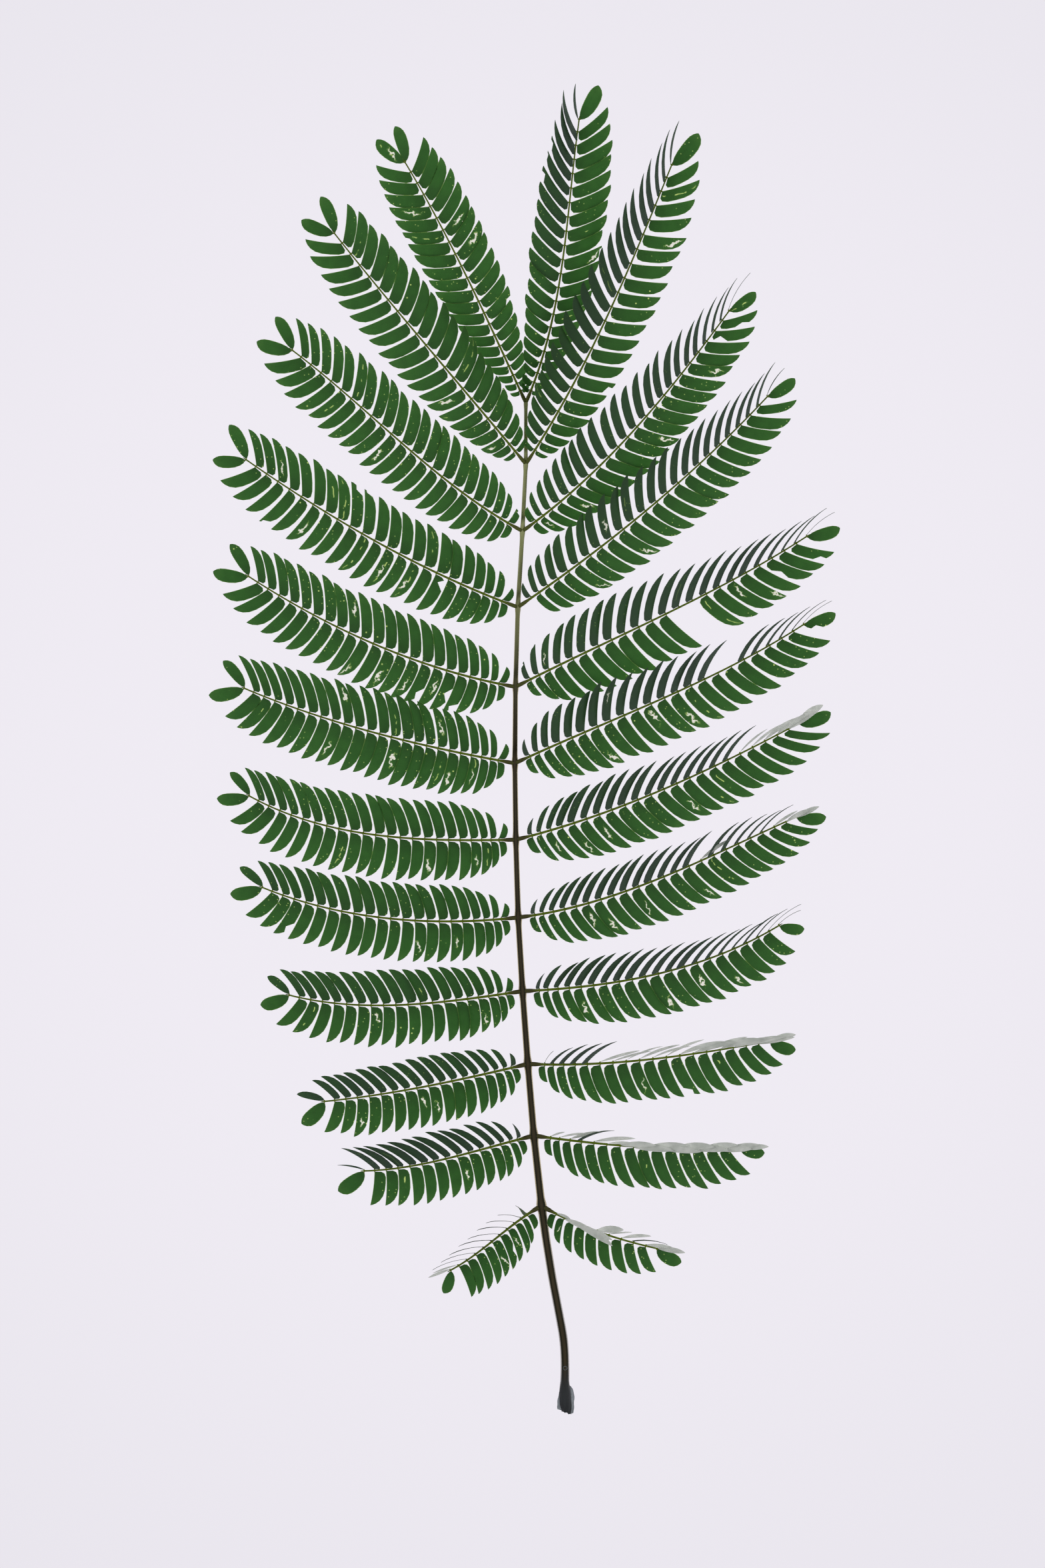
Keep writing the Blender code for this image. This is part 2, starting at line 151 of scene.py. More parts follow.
# %% Bites and windows
BITES = {
    "outer": {
        (RIGHT, 1): {11: (0.91, 0.6)}, (RIGHT, 2): {7: (0.81, 0.5)},
        (RIGHT, 3): {7: (0.91, 0.5), 20: (0.16, 0.5), 21: (0.50, 0.3)},
        (RIGHT, 5): {19: (0.32, 0.3), 21: (0.67, 0.35)}, (RIGHT, 6): {22: (0.32, 0.3)},
        (RIGHT, 10): {11: (0.81, 0.5)}, (LEFT, 1): {15: (0.81, 0.3)},
        (LEFT, 4): {6: (0.16, 0.7), 18: (0.91, 0.7)},
        (LEFT, 5): {4: (0.81, 0.75), 5: (0.50, 0.5), 7: (0.67, 0.4)}, (LEFT, 8): {18: (0.67, 0.4)},
        (LEFT, 12): {4: (0.50, 0.3)},
    },
    "inner": {
        (RIGHT, 1): {15: (0.81, 0.7), 16: (0.91, 0.7), 17: (0.81, 0.8)},
        (RIGHT, 5): {0: (0.81, 0.6), 1: (0.91, 0.3)}, (LEFT, 1): {8: (0.67, 0.3)},
        (LEFT, 4): {12: (0.91, 0.5), 13: (0.81, 0.4)}, (LEFT, 3): {0: (0.81, 0.5)},
    },
}
WINDOWS = {
    "outer": {
        (RIGHT, 2): {17: (0.70, 0.55)}, (RIGHT, 1): {11: (0.72, 0.6)},
        (RIGHT, 3): {1: (0.35, 0.5), 4: (0.55, 0.4), 11: (0.70, 0.3), 17: (0.60, 0.5)},
        (RIGHT, 4): {5: (0.80, 0.6), 9: (0.75, 0.6)}, (RIGHT, 5): {16: (0.25, 0.4), 17: (0.80, 0.3)},
        (RIGHT, 6): {6: (0.75, 0.5), 10: (0.25, 0.45), 12: (0.60, 0.5)},
        (RIGHT, 7): {2: (0.45, 0.4), 4: (0.60, 0.5), 6: (0.40, 0.5), 12: (0.55, 0.4)},
        (RIGHT, 8): {5: (0.30, 0.5), 6: (0.60, 0.5), 9: (0.45, 0.5), 13: (0.70, 0.4)},
        (RIGHT, 9): {4: (0.50, 0.5), 10: (0.65, 0.4), 13: (0.35, 0.5), 15: (0.70, 0.5)},
        (RIGHT, 10): {8: (0.55, 0.5)}, (RIGHT, 12): {1: (0.40, 0.3)},
        (LEFT, 1): {17: (0.45, 0.4), 21: (0.40, 0.5)}, (LEFT, 2): {2: (0.60, 0.5), 7: (0.50, 0.4)},
        (LEFT, 3): {12: (0.55, 0.5)}, (LEFT, 4): {8: (0.55, 0.4), 10: (0.50, 0.5), 16: (0.55, 0.5)},
        (LEFT, 5): {6: (0.40, 0.6), 8: (0.60, 0.5), 10: (0.60, 0.5), 12: (0.80, 0.4)},
        (LEFT, 6): {3: (0.5, 0.5), 5: (0.6, 0.5), 10: (0.45, 0.5), 15: (0.6, 0.4)},
        (LEFT, 7): {3: (0.5, 0.5), 7: (0.6, 0.5)}, (LEFT, 8): {5: (0.5, 0.5), 8: (0.6, 0.4)},
        (LEFT, 9): {3: (0.6, 0.5), 12: (0.25, 0.5)},
        (LEFT, 10): {8: (0.5, 0.5), 9: (0.35, 0.5), 14: (0.6, 0.5)}, (LEFT, 11): {6: (0.5, 0.5)},
        (LEFT, 12): {3: (0.4, 0.5), 5: (0.55, 0.5)},
    },
    "inner": {
        (RIGHT, 4): {8: (0.30, 0.4)}, (RIGHT, 5): {2: (0.30, 0.6)}, (RIGHT, 6): {7: (0.5, 0.5)},
        (LEFT, 1): {13: (0.55, 0.5), 15: (0.40, 0.5)}, (LEFT, 4): {19: (0.30, 0.5)},
        (LEFT, 5): {13: (0.50, 0.6)}, (LEFT, 6): {6: (0.45, 0.5), 14: (0.6, 0.5)},
    },
}
for name, table in (("bites", BITES), ("windows", WINDOWS)):
    print(sum(len(ranks) for rows in table.values() for ranks in rows.values()), name)

# %% [markdown]
# Some inner leaflets have rolled over and lie along their stalk with the pale underside up. The
# table gives angle, width and length for each such rank. A negative angle crosses the stalk.

# %% Turned leaflets
TURNED = {
    (RIGHT, 7): {
        17: (14, 0.6, 11), 18: (10, 0.8, 11), 19: (8, 1.3, 11.5), 20: (5, 1.8, 11), 21: (4, 2.3, 10),
        22: (7, 2.5, 9)},
    (RIGHT, 8): {14: (11, 1.1, 10.5), 20: (8, 0.8, 8.5), 21: (3, 1.4, 8.5), 22: (2, 1.6, 7.5)},
    (RIGHT, 10): {
        5: (13, 0.9, 12.5), 6: (11, 0.8, 12), 7: (16, 0.5, 12), 8: (14, 1.0, 13), 9: (11, 0.7, 12),
        10: (17, 0.8, 12.5), 11: (9, 1.5, 14), 12: (6, 1.4, 14), 13: (10, 1.3, 13), 14: (5, 1.7, 13),
        15: (4, 1.6, 12.5), 16: (3, 1.6, 12), 17: (1, 1.8, 11), 18: (4, 1.9, 8)},
    (RIGHT, 11): {
        0: (24, 0.6, 4.5), 1: (15, 0.7, 8.5), 2: (19, 1.2, 9.5), 4: (10, 1.3, 12.5), 5: (4, 0.9, 9),
        6: (4, 1.8, 11), 7: (0, 2.0, 12), 8: (5, 1.9, 12.5), 9: (-1, 2.0, 12), 10: (4, 2.2, 12),
        11: (0, 2.1, 12), 12: (5, 2.0, 11), 13: (0, 2.2, 11), 14: (3, 1.9, 10), 15: (1, 1.8, 8.5)},
    (RIGHT, 12): {
        0: (4, 0.9, 4.5), 1: (0, 1.7, 10), 2: (-7, 2.2, 13.5), 3: (-2, 1.6, 9), 4: (20, 2.3, 8),
        5: (24, 0.5, 7), 6: (21, 1.1, 9), 8: (9, 1.2, 8), 9: (5, 1.9, 8.5)},
    (LEFT, 12): {9: (14, 0.5, 8), 10: (8, 0.9, 7)},
}
print(sum(len(ranks) for ranks in TURNED.values()), "turned leaflets")

# %% [markdown]
# ## Helpers for meshes
# A mesh is filled from whole numpy arrays with foreach_set, which is quick and keeps the shape
# and the bookkeeping apart. Every finished object stays at the origin with its place in its mesh.

# %% Put arrays into a mesh
def make_piece(name, points, faces, uv=None, per_point=(), per_face=(), smooth=True, crease=None):
    """Points are millimetres. Faces are index rows of one width, or a list of such blocks.

    An edge between two points that are marked in crease is left sharp.
    """
    blocks = [np.asarray(block) for block in (faces if isinstance(faces, list) else [faces])]
    corners = np.concatenate([block.ravel() for block in blocks]).astype(np.int32)
    sizes = np.concatenate([np.full(len(block), block.shape[1]) for block in blocks]).astype(np.int32)
    starts = np.concatenate([[0], np.cumsum(sizes)[:-1]]).astype(np.int32)
    mesh = bpy.data.meshes.new(name)
    mesh.vertices.add(len(points))
    mesh.vertices.foreach_set("co", (np.asarray(points) * MM).astype(np.float32).ravel())
    mesh.loops.add(len(corners))
    mesh.loops.foreach_set("vertex_index", corners)
    mesh.polygons.add(len(sizes))
    mesh.polygons.foreach_set("loop_start", starts)
    mesh.polygons.foreach_set("loop_total", sizes)
    mesh.update(calc_edges=True)
    if uv is not None:
        layer = mesh.uv_layers.new(name="UVMap")
        layer.data.foreach_set("uv", np.asarray(uv, dtype=np.float32)[corners].ravel())
    for domain, marks in (("POINT", per_point), ("FACE", per_face)):
        for key, values in dict(marks).items():
            mark = mesh.attributes.new(key, "FLOAT", domain)
            mark.data.foreach_set("value", values.astype(np.float32))
    mesh.polygons.foreach_set("use_smooth", np.full(len(sizes), smooth))
    if crease is not None:
        ends = np.zeros(2 * len(mesh.edges), dtype=np.int32)
        mesh.edges.foreach_get("vertices", ends)
        mesh.edges.foreach_set("use_edge_sharp", crease[ends.reshape(-1, 2)].all(axis=1))
    thing = bpy.data.objects.new(name, mesh)
    bpy.context.scene.collection.objects.link(thing)
    return thing


def tube_faces(rings, sides):
    """Quads between neighbouring rings, facing outwards, and one flat cap at each end."""
    ring, side = np.meshgrid(np.arange(rings - 1), np.arange(sides), indexing="ij")
    a = ring * sides + side
    b = ring * sides + (side + 1) % sides
    quads = np.stack([a, b, b + sides, a + sides], axis=-1).reshape(-1, 4)
    first = np.arange(sides)[::-1][None, :]
    last = (rings - 1) * sides + np.arange(sides)[None, :]
    return [quads, first, last]


# %% [markdown]
# ## Where everything grows from
# A side stalk is walked in short steps, and each step goes the way that its three given directions
# blend to. The same walk gives a place and a heading for every pair of leaflets.

# %% Plan of one side stalk
TIP_HEIGHT = 0.4
FIRST_PAIR, FIRST_PAIR_AT_FORK = 4.9, 3.8


def blend(first, middle, last, t):
    """Quadratic through three values, at t = 0, 1/2 and 1."""
    return first * (1 - t) * (1 - 2 * t) + middle * 4 * t * (1 - t) + last * t * (2 * t - 1)


def stalk_line(side_name, number, distances):
    """Centre points, headings in radians and radii of a side stalk at distances from its knot.

    The height runs straight from the knot to the tip, plus a sine arch that leans to the foot.
    """
    length, foot, middle, tip, _, arch = PINNAE[side_name, number]
    x0, y0, knot_radius = KNOTS[number]
    steps = 240
    t = (np.arange(steps) + 0.5) / steps
    way = np.radians(blend(foot, middle, tip, t))
    walked = np.linspace(0.0, length, steps + 1)
    x = np.interp(distances, walked, x0 + np.concatenate([[0], np.cumsum(np.cos(way))]) * length / steps)
    y = np.interp(distances, walked, y0 + np.concatenate([[0], np.cumsum(np.sin(way))]) * length / steps)
    share = np.clip(distances / length, 0.0, 1.0)
    height = knot_radius + 0.45
    height = height + (TIP_HEIGHT - height) * share + arch * np.sin(math.pi * share**0.8)
    heading = np.radians(blend(foot, middle, tip, share))
    return np.stack([x, y, height], axis=1), heading, 0.34 + 0.004 * number - 0.14 * share


def pair_places(number, length, pairs):
    """Distance of each pair from the knot. Gaps start small, even out, and close up at the end."""
    first = FIRST_PAIR_AT_FORK if number == 1 else FIRST_PAIR
    rank = np.arange(pairs - 1)
    start, fade = (0.42, 5.0) if number < 3 else (0.36, 2.6)
    gaps = 1.0 - start * np.exp(-rank / fade) - 0.14 * np.exp((rank - pairs + 2) / 1.5)
    run = np.concatenate([[0.0], np.cumsum(gaps)])
    return first + (length - first) * run / run[-1]


widest_gap = max(np.diff(pair_places(key[1], row[0], row[4])).max() for key, row in PINNAE.items())
print("widest gap between pairs: %.2f mm" % widest_gap)

# %% [markdown]
# ## One leaflet
# A real leaflet is a thin oblong blade. It hangs from its front corner, its front margin is nearly
# straight, its back margin bulges, and it ends in a tiny point at the front. So the front margin is
# used as the spine: it bends forward like a sickle, and the blade is measured back from it. The
# blade's width along its length is two superellipse halves. Turning the blade about the spine
# stands it on edge, and letting the turn grow along its length gives the narrow blades that thin
# out to a hair. The blade is closed, with an upper and a lower skin that meet at the margins.

# %% The blade as a function of two parameters
FOLD = 0.02
THICKNESS = 0.14
UP = np.array([0.0, 0.0, 1.0])


def across_and_along(heading):
    """Two level unit vectors for each heading: one to its left and one along it."""
    level = 0 * heading
    left = np.stack([-np.sin(heading), np.cos(heading), level], axis=-1)
    return left, np.stack([np.cos(heading), np.sin(heading), level], axis=-1)


def blade_width(u, widest, shoulder, steep, fullness):
    """Width share at u: rises steeply from the foot, full at widest, then falls to the tip."""
    foot = np.clip((widest - u) / widest, 0.0, 1.0)
    point = np.clip((u - widest) / (1.0 - widest), 0.0, 1.0)
    return np.where(u < widest, (1 - foot**shoulder) ** steep, (1 - point**fullness) ** 0.8)


def blade_points(row, u, v, lift):
    """Points of every blade in a row, shape (leaflets, stations, 3).

    The spine's heading turns evenly from base to tip, so its x and y are differences of sines and
    cosines. From the spine the point goes back by v times the width, in a direction turned about
    the spine, and along the blade's own normal by lift (a share of the thickness) and the fold.
    Near the foot it also slides towards the stalk, so the blade's end is cut along the stalk.
    """
    def column(values):
        return np.asarray(values, dtype=float)[:, None]

    start, bend = column(row["way"]), column(row["bend"]) * row["side"]
    angle = start + bend * (0.5 - u)
    x = (np.sin(start + bend / 2) - np.sin(angle)) / bend
    y = (np.cos(angle) - np.cos(start + bend / 2)) / bend
    z = column(row["climb"]) * u + column(row["hump"]) * 4 * u * (1 - u)
    length = column(row["length"])
    spine = np.stack([x * length, y * length, z], axis=-1) + row["root"][:, None, :]
    left, ahead = across_and_along(angle)
    forward = -left * row["side"]
    turn = column(row["turn"]) + column(row["twist"]) * u**2.5
    cos, sin = np.cos(turn)[..., None], np.sin(turn)[..., None]
    back = -(forward * cos - UP * sin)
    normal = UP * cos + forward * sin
    width = column(row["width"]) * blade_width(
        u, column(row["widest"]), column(row["shoulder"]), column(row["steep"]), column(row["fullness"]))
    crown = np.sin(math.pi * np.clip(v, 0, 1))
    across = width * (v - column(row["front_share"]))
    slide = -column(row["slant"]) * across * (1 - u) ** 4
    rise = -FOLD * width * crown + lift * THICKNESS * crown
    return spine + back * across[..., None] + normal * rise[..., None] + ahead * slide[..., None]


print("a flat blade has %.2f of its width at mid-length" % blade_width(0.5, 0.44, 6.0, 0.30, 2.5))

# %% [markdown]
# The blade is the shape that is repeated about a thousand times, so it gets only forty faces: nine
# stations between foot and tip, each with a front corner, a back corner and a rib point on the
# upper and on the lower skin. The index rows for one blade are worked out once and then added to
# each blade's first vertex number.

# %% Skin for a whole row of blades
SPREAD = np.array([0.012, 0.06, 0.16, 0.32, 0.50, 0.67, 0.81, 0.91, 0.97])
STATIONS = len(SPREAD)
RIB_AT = 0.36
BITE_REACH, DEEPEST_BITE = 0.055, 0.42
LEAFLET_MARKS = ("tone", "mined", "steep_shade", "window_along", "window_across")


def blade_template():
    """Faces of one closed blade. Point 0 is the foot, 1 the tip, then four for each station."""
    k = 2 + 4 * np.arange(STATIONS)
    front, rear, top, bottom = k, k + 1, k + 2, k + 3

    def strip(a, b):
        return np.stack([a[:-1], a[1:], b[1:], b[:-1]], axis=1)

    sheets = ((front, top), (top, rear), (bottom, front), (rear, bottom))
    quads = np.concatenate([strip(a, b) for a, b in sheets])
    foot_end = [(0, a[0], b[0]) for a, b in sheets]
    tip_end = [(a[-1], 1, b[-1]) for a, b in sheets]
    return quads, np.array(foot_end + tip_end)


print("faces of one blade:", sum(map(len, blade_template())))


def blade_row_mesh(row):
    """Points, faces, map and skin marks of all blades in one row."""
    count = len(row["length"])
    root = blade_points(row, np.array([0.0]), 0.0, 0.0)
    tip = blade_points(row, np.array([1.0]), 0.0, 0.0)
    front = blade_points(row, SPREAD, 0.0, 0.0)
    nearness = np.exp(-(((SPREAD[None, :] - row["bite_at"][:, None]) / BITE_REACH) ** 2))
    back_edge = np.clip(1.0 - row["bite_depth"][:, None] * nearness, DEEPEST_BITE, 1.0)
    rear = blade_points(row, SPREAD, back_edge, 0.0)
    top = blade_points(row, SPREAD, RIB_AT, 0.5)
    bottom = blade_points(row, SPREAD, RIB_AT, -0.5)
    stations = np.stack([front, rear, top, bottom], axis=2).reshape(count, -1, 3)
    points = np.concatenate([root, tip, stations], axis=1)
    quads, tris = blade_template()
    if row["side"] < 0:
        quads, tris = quads[:, ::-1], tris[:, ::-1]
    first = (np.arange(count) * points.shape[1])[:, None, None]
    across = np.tile([0.0, 1.0, RIB_AT, RIB_AT], STATIONS)
    along = np.repeat(SPREAD, 4)
    uv_one = np.concatenate([[[0.0, 0.2], [1.0, 0.2]], np.stack([along, across], axis=1)])
    on_margin = np.concatenate([[True, True], np.tile([True, True, False, False], STATIONS)])
    lower_sheets = [0.0, 0.0, 1.0, 1.0]
    return {
        "points": points.reshape(-1, 3),
        "quads": (quads + first).reshape(-1, 4),
        "tris": (tris + first).reshape(-1, 3),
        "uv": np.tile(uv_one, (count, 1)),
        "margin": np.tile(on_margin, count),
        "under_quads": np.tile(np.repeat(lower_sheets, STATIONS - 1), count),
        "under_tris": np.tile(lower_sheets * 2, count),
        **{key: np.repeat(row[key], points.shape[1]) for key in LEAFLET_MARKS},
    }


# %% [markdown]
# ## Filling in a row
# The posture table gives a row's habit, and this step turns it into one value per leaflet: short
# beside the knot, nearly full size from the sixth on, wide angles first and narrow ones at the end.
# A little seeded scatter keeps the row from looking stamped.

# %% Angles and sizes along a row
scatter = np.random.default_rng(12)
ON_EDGE_FROM, ON_EDGE_TO = 28.0, 58.0
FLAT_TURN, STANDING_TURN = 7.0, 68.0
INNER_BREADTH, OUTER_BREADTH, USUAL_LENGTH = 3.7, 3.75, 13.2
LOWEST, LOWEST_POINT = 0.3, 0.05
ROOM_BEFORE_FIRST = 2.6
ANGLE_SCATTER, TURN_SCATTER, LENGTH_SCATTER, WIDTH_SCATTER = 1.3, 1.2, 0.02, 0.03
OVERLAP, OVERLAP_SHARE, MINED_SHARE = 0.3, 0.08, 0.06
ON_TOP = 0.35


def smooth_step(x, low, high):
    """0 below low, 1 above high, and an easy curve between."""
    t = np.clip((x - low) / (high - low), 0.0, 1.0)
    return t * t * (3 - 2 * t)


def before_end(rank, fade):
    """1 at the last leaflet but one, and e times less for each step of fade towards the foot."""
    return np.exp((rank - len(rank) + 2) / fade)


def row_angles(side_name, number, inner, rank):
    """Degrees off the stalk and degrees of turn about the spine, for each leaflet of a row."""
    hold = HOLD[side_name, number]
    if not inner:
        near, end = hold[8:]
        closing = 6.0 if side_name == RIGHT and number in (5, 6) else 2.2
        angle = near + 10.0 * np.exp(-rank / 1.5) + (end - near) * before_end(rank, closing)
        return angle, np.full(len(rank), FLAT_TURN)
    near, end, first_turn, last_turn, late = hold[1:6]
    t = rank / (len(rank) - 1)
    lean, drop = (10.0, 1.1) if side_name == RIGHT else (24.0, 1.6)
    spread = min(1.0, (number - 1) / 3)
    angle = near + spread * (14.0 * np.exp(-rank / 2.0) + lean * np.exp(-rank / 0.5))
    angle = angle + (end - near) * np.clip((t - 0.3) / 0.7, 0, 1) ** drop
    return angle, first_turn + (last_turn - first_turn) * t**late


def row_share(side_name, number, inner, rank, on_edge):
    """Each leaflet's share of the row's full length: less beside the knot and before the end."""
    small, reach, ease = GROWTH.get(number, (0.62, 1.9, 0.9))
    shorter = 0.27 if side_name == RIGHT and number > 7 and not inner else 0.16
    at_knot = small * np.exp(-((rank / reach) ** ease))
    return 1.0 - at_knot - (1 - on_edge) * shorter * before_end(rank, 1.8)


def row_room(side_name, number, inner, rank, gap, angle):
    """Room for each blade's width: a filled share of the gap between pairs, seen along the blade.

    A few leaflets, and those at the end that fan out, may lie over their neighbour a little.
    """
    if side_name == LEFT:
        filled = (0.96 if inner else 1.06) + 0.08 * (number < 3) - 0.08 * (number > 9)
    elif inner:
        filled = (1.02, 0.88, 0.78)[min(number, 3) - 1]
    else:
        filled = 0.97 + 0.06 * (number < 4)
    if inner:
        fan = 0.3 * (number < 3)
    else:
        fan = 0.0 if number == 12 else 0.9 if side_name == LEFT else 0.4
    filled = filled * (1 - 0.18 * np.exp(-rank / 3.0))
    over = OVERLAP * (scatter.random(len(rank)) < OVERLAP_SHARE)
    return filled * gap * np.sin(np.radians(angle)) + over + fan * before_end(rank, 2.0)


print("angles along one row:", row_angles(LEFT, 4, True, np.arange(24))[0].round()[::5])

# %% [markdown]
# Now the values are put together, one array for each. A blade may not be wider than its room, so
# the white slits between leaflets stay open. Rolled leaflets lie one over another beside their
# stalk, and lifting them a little keeps them clear of the flat row.

# %% Values for every leaflet in a row
def table_columns(marks, pairs, nothing):
    """Columns for a row: the listed values at each listed rank, and nothing elsewhere."""
    columns = np.tile(np.array(nothing)[:, None], pairs)
    for rank, values in marks.items():
        columns[:, rank] = values
    return columns


def turn_over(row, lie, wide, long, heading, left, wobble):
    """Lay the chosen leaflets of a row along the stalk with the underside up, a little above it."""
    turned = wide > 0
    low = np.clip(1.0 - lie / 7.0, 0.0, 1.0)
    changed = {
        "way": heading + row["side"] * np.radians(lie), "bend": np.radians(16.0 + 5.0 * wobble[1]),
        "width": wide, "length": long, "turn": np.radians(10.0 + 9.0 * wobble[2]),
        "twist": 0.0, "slant": 0.0, "widest": 0.52, "fullness": 2.0, "shoulder": 2.0, "steep": 0.8,
        "front_share": 0.5, "climb": 0.7 + 0.3 * wobble[3], "hump": 0.5,
    }
    row.update({key: np.where(turned, value, row[key]) for key, value in changed.items()})
    inwards = -left * (row["side"] * 0.75 * low * turned)[:, None]
    row["root"] = row["root"] + inwards + ON_TOP * UP * turned[:, None]
    return turned


def leaflet_row(side_name, number, inner):
    """One dictionary of arrays for a row: where each blade starts and how it is held."""
    length, pairs = PINNAE[side_name, number][0], PINNAE[side_name, number][4]
    hold, row_name = HOLD[side_name, number], "inner" if inner else "outer"
    places = pair_places(number, length, pairs)
    centre, heading, radius = stalk_line(side_name, number, places)
    side = (1 if side_name == RIGHT else -1) * (1 if inner else -1)
    rank = np.arange(pairs)
    last = (rank == pairs - 1).astype(float)
    wobble = scatter.normal(0.0, 1.0, (4, pairs))
    angle, turn = row_angles(side_name, number, inner, rank)
    end_length, end_angle = END_LEAFLETS[side_name, number][2 if inner else 0:][:2]
    angle = np.where(last > 0, end_angle, angle + ANGLE_SCATTER * wobble[0])
    dried = number > (3 if side_name == RIGHT else 9)
    turn = turn + TURN_SCATTER * wobble[3]
    turn = turn * (1 + (0.5 if dried else -0.6) * np.exp(-rank / 0.6))
    on_edge = smooth_step(turn, ON_EDGE_FROM, ON_EDGE_TO)

    full = hold[0 if inner else 7]
    share = row_share(side_name, number, inner, rank, on_edge)
    blade = np.where(last > 0, end_length, full * share * (1 + LENGTH_SCATTER * wobble[1]))
    broad = (INNER_BREADTH if inner else OUTER_BREADTH) + 0.3 * (number < 3)
    broad = broad * (full / USUAL_LENGTH) ** 0.5
    width = broad * (1 - 0.42 * np.exp(-rank / 0.9)) * (1 + WIDTH_SCATTER * wobble[2])
    if number < 3:
        width = width * (0.42 + 0.58 * share)
    gap = np.diff(places, prepend=places[0] - ROOM_BEFORE_FIRST)
    room = row_room(side_name, number, inner, rank, gap, angle)
    width = np.minimum(width, room / np.maximum(np.cos(np.radians(turn)), 0.5))
    end_breadth = 0.34 if inner else 0.39 + 0.09 * smooth_step(float(number), 6.0, 10.0)
    width = np.where(last * (1 - on_edge) > 0.5, end_breadth * blade, width)

    left, along = across_and_along(heading)
    root = centre + left * (side * (radius + 0.12))[:, None] + along * 0.15
    rise = hold[6] * blade if inner else 0.85 * (LOWEST - root[:, 2])
    bend = np.radians(15.0 + 13.0 * on_edge - 6.0 * last * (1 - on_edge))
    at_foot = np.clip(np.radians(angle) + bend / 2, 0.7, 2.2)
    row = {
        "side": side, "root": root, "way": heading + side * np.radians(angle), "length": blade,
        "width": width, "bend": bend, "turn": np.radians(turn),
        "twist": np.radians((STANDING_TURN - turn) * on_edge),
        "slant": 0.9 * np.cos(at_foot) / np.sin(at_foot) * (1 - last),
        "climb": np.maximum(rise, LOWEST - root[:, 2]), "hump": 0.25 + 0.15 * wobble[2] * inner,
        "widest": 0.44 + 0.14 * last - 0.26 * on_edge, "fullness": 2.5 + 0.5 * last - 1.2 * on_edge,
        "shoulder": 6.0 - 3.6 * last, "steep": 0.30 + 0.35 * last, "front_share": 0.03 + 0.37 * last,
        # How far the blade stands on edge; the finish paints shade from this value.
        "steep_shade": smooth_step(turn, 9.0, 34.0) * 0.6 + 0.4 * on_edge,
        "tone": 0.4 * scatter.random(pairs) + 0.6 * (12 - number) / 11,
        "mined": (scatter.random(pairs) < MINED_SHARE) * 1.0,
    }
    for table, keys, nothing in ((BITES, ("bite_at", "bite_depth"), (-9.0, 0.0)),
                                 (WINDOWS, ("window_along", "window_across"), (-9.0, -9.0))):
        marks = table[row_name].get((side_name, number), {})
        row.update(zip(keys, table_columns(marks, pairs, nothing)))
    turned = np.zeros(pairs, dtype=bool)
    if inner and (side_name, number) in TURNED:
        columns = table_columns(TURNED[side_name, number], pairs, (0.0, 0.0, 0.0))
        turned = turn_over(row, *columns, heading, left, wobble)
    keep = ~np.isin(rank, MISSING[row_name].get((side_name, number), ()))
    return row, keep, turned


def pick(row, keep):
    """The same row with only the chosen leaflets."""
    return {k: (v[keep] if isinstance(v, np.ndarray) else v) for k, v in row.items()}


def joined_mesh(parts):
    """Several blade rows put one after another, ready for make_piece."""
    def end_to_end(key):
        return np.concatenate([part[key] for part in parts])

    starts = np.cumsum([0] + [len(part["points"]) for part in parts[:-1]])
    faces = [np.concatenate([part[key] + start for part, start in zip(parts, starts)])
             for key in ("quads", "tris")]
    points = end_to_end("points")
    points[:, 2] = np.maximum(points[:, 2], LOWEST_POINT)
    per_point = {key: end_to_end(key) for key in LEAFLET_MARKS}
    under = np.concatenate([end_to_end("under_quads"), end_to_end("under_tris")])
    return points, faces, end_to_end("uv"), per_point, {"under": under}, True, end_to_end("margin")


# %% [markdown]
# ## The leaflets of every pinna
# Both rows of a pinna make one piece, which stands for the CAD node of the same number. Some
# leaflets on the lower pinnae have rolled over and show their pale underside. They are separate
# pieces, because they have another finish.

# %% Build the leaflets
def place(piece, node=None):
    """Ride on the one body, and stand for a CAD node if one is given."""
    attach(piece, "root")
    if node:
        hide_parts(node)


green_pieces, silver_pieces, LEAFLET_FEET = [], [], {}
for (side_name, number) in PINNAE:
    green, silver_rows, feet, ways = [], [], [], []
    for inner in (True, False):
        row, keep, silver = leaflet_row(side_name, number, inner)
        feet.append(row["root"][keep])
        ways.append((row["way"] + row["side"] * row["bend"] / 2)[keep])
        if not silver.all():
            green.append(blade_row_mesh(pick(row, keep & ~silver)))
        if silver.any():
            silver_rows.append(blade_row_mesh(pick(row, keep & silver)))
    LEAFLET_FEET[side_name, number] = (np.concatenate(feet), np.concatenate(ways))
    piece = make_piece(f"leaflets_{side_name}_{number:02d}", *joined_mesh(green))
    place(piece, f"pinna_{side_name}_{number:02d}")
    green_pieces.append(piece)
    if silver_rows:
        piece = make_piece(f"turned_leaflets_{side_name}_{number:02d}", *joined_mesh(silver_rows))
        place(piece)
        silver_pieces.append(piece)
print(len(green_pieces), "leaflet pieces,", sum(len(p.data.polygons) for p in green_pieces), "faces")

# %% [markdown]
# ## Side stalks
# A side stalk is a thin tube along its line. It swells into a cushion at its foot, is a little
# thicker where each pair of leaflets stands, and ends in a short point. Each leaflet joins it by a
# tiny pale neck, which is a bead of twenty-four faces at the blade's foot.

# %% Build the side stalks
NECK_SIDES = 6
NECK_RINGS = ((-0.16, 0.13), (0.02, 0.19), (0.20, 0.12))
NECK_ENDS = (-0.26, 0.30)
STALK_SIDES = 10
STEM_SIDES = 28
UV_LENGTH = 10.0


def circle(sides):
    """Angles of evenly spaced points round a circle."""
    return 2 * math.pi * np.arange(sides) / sides


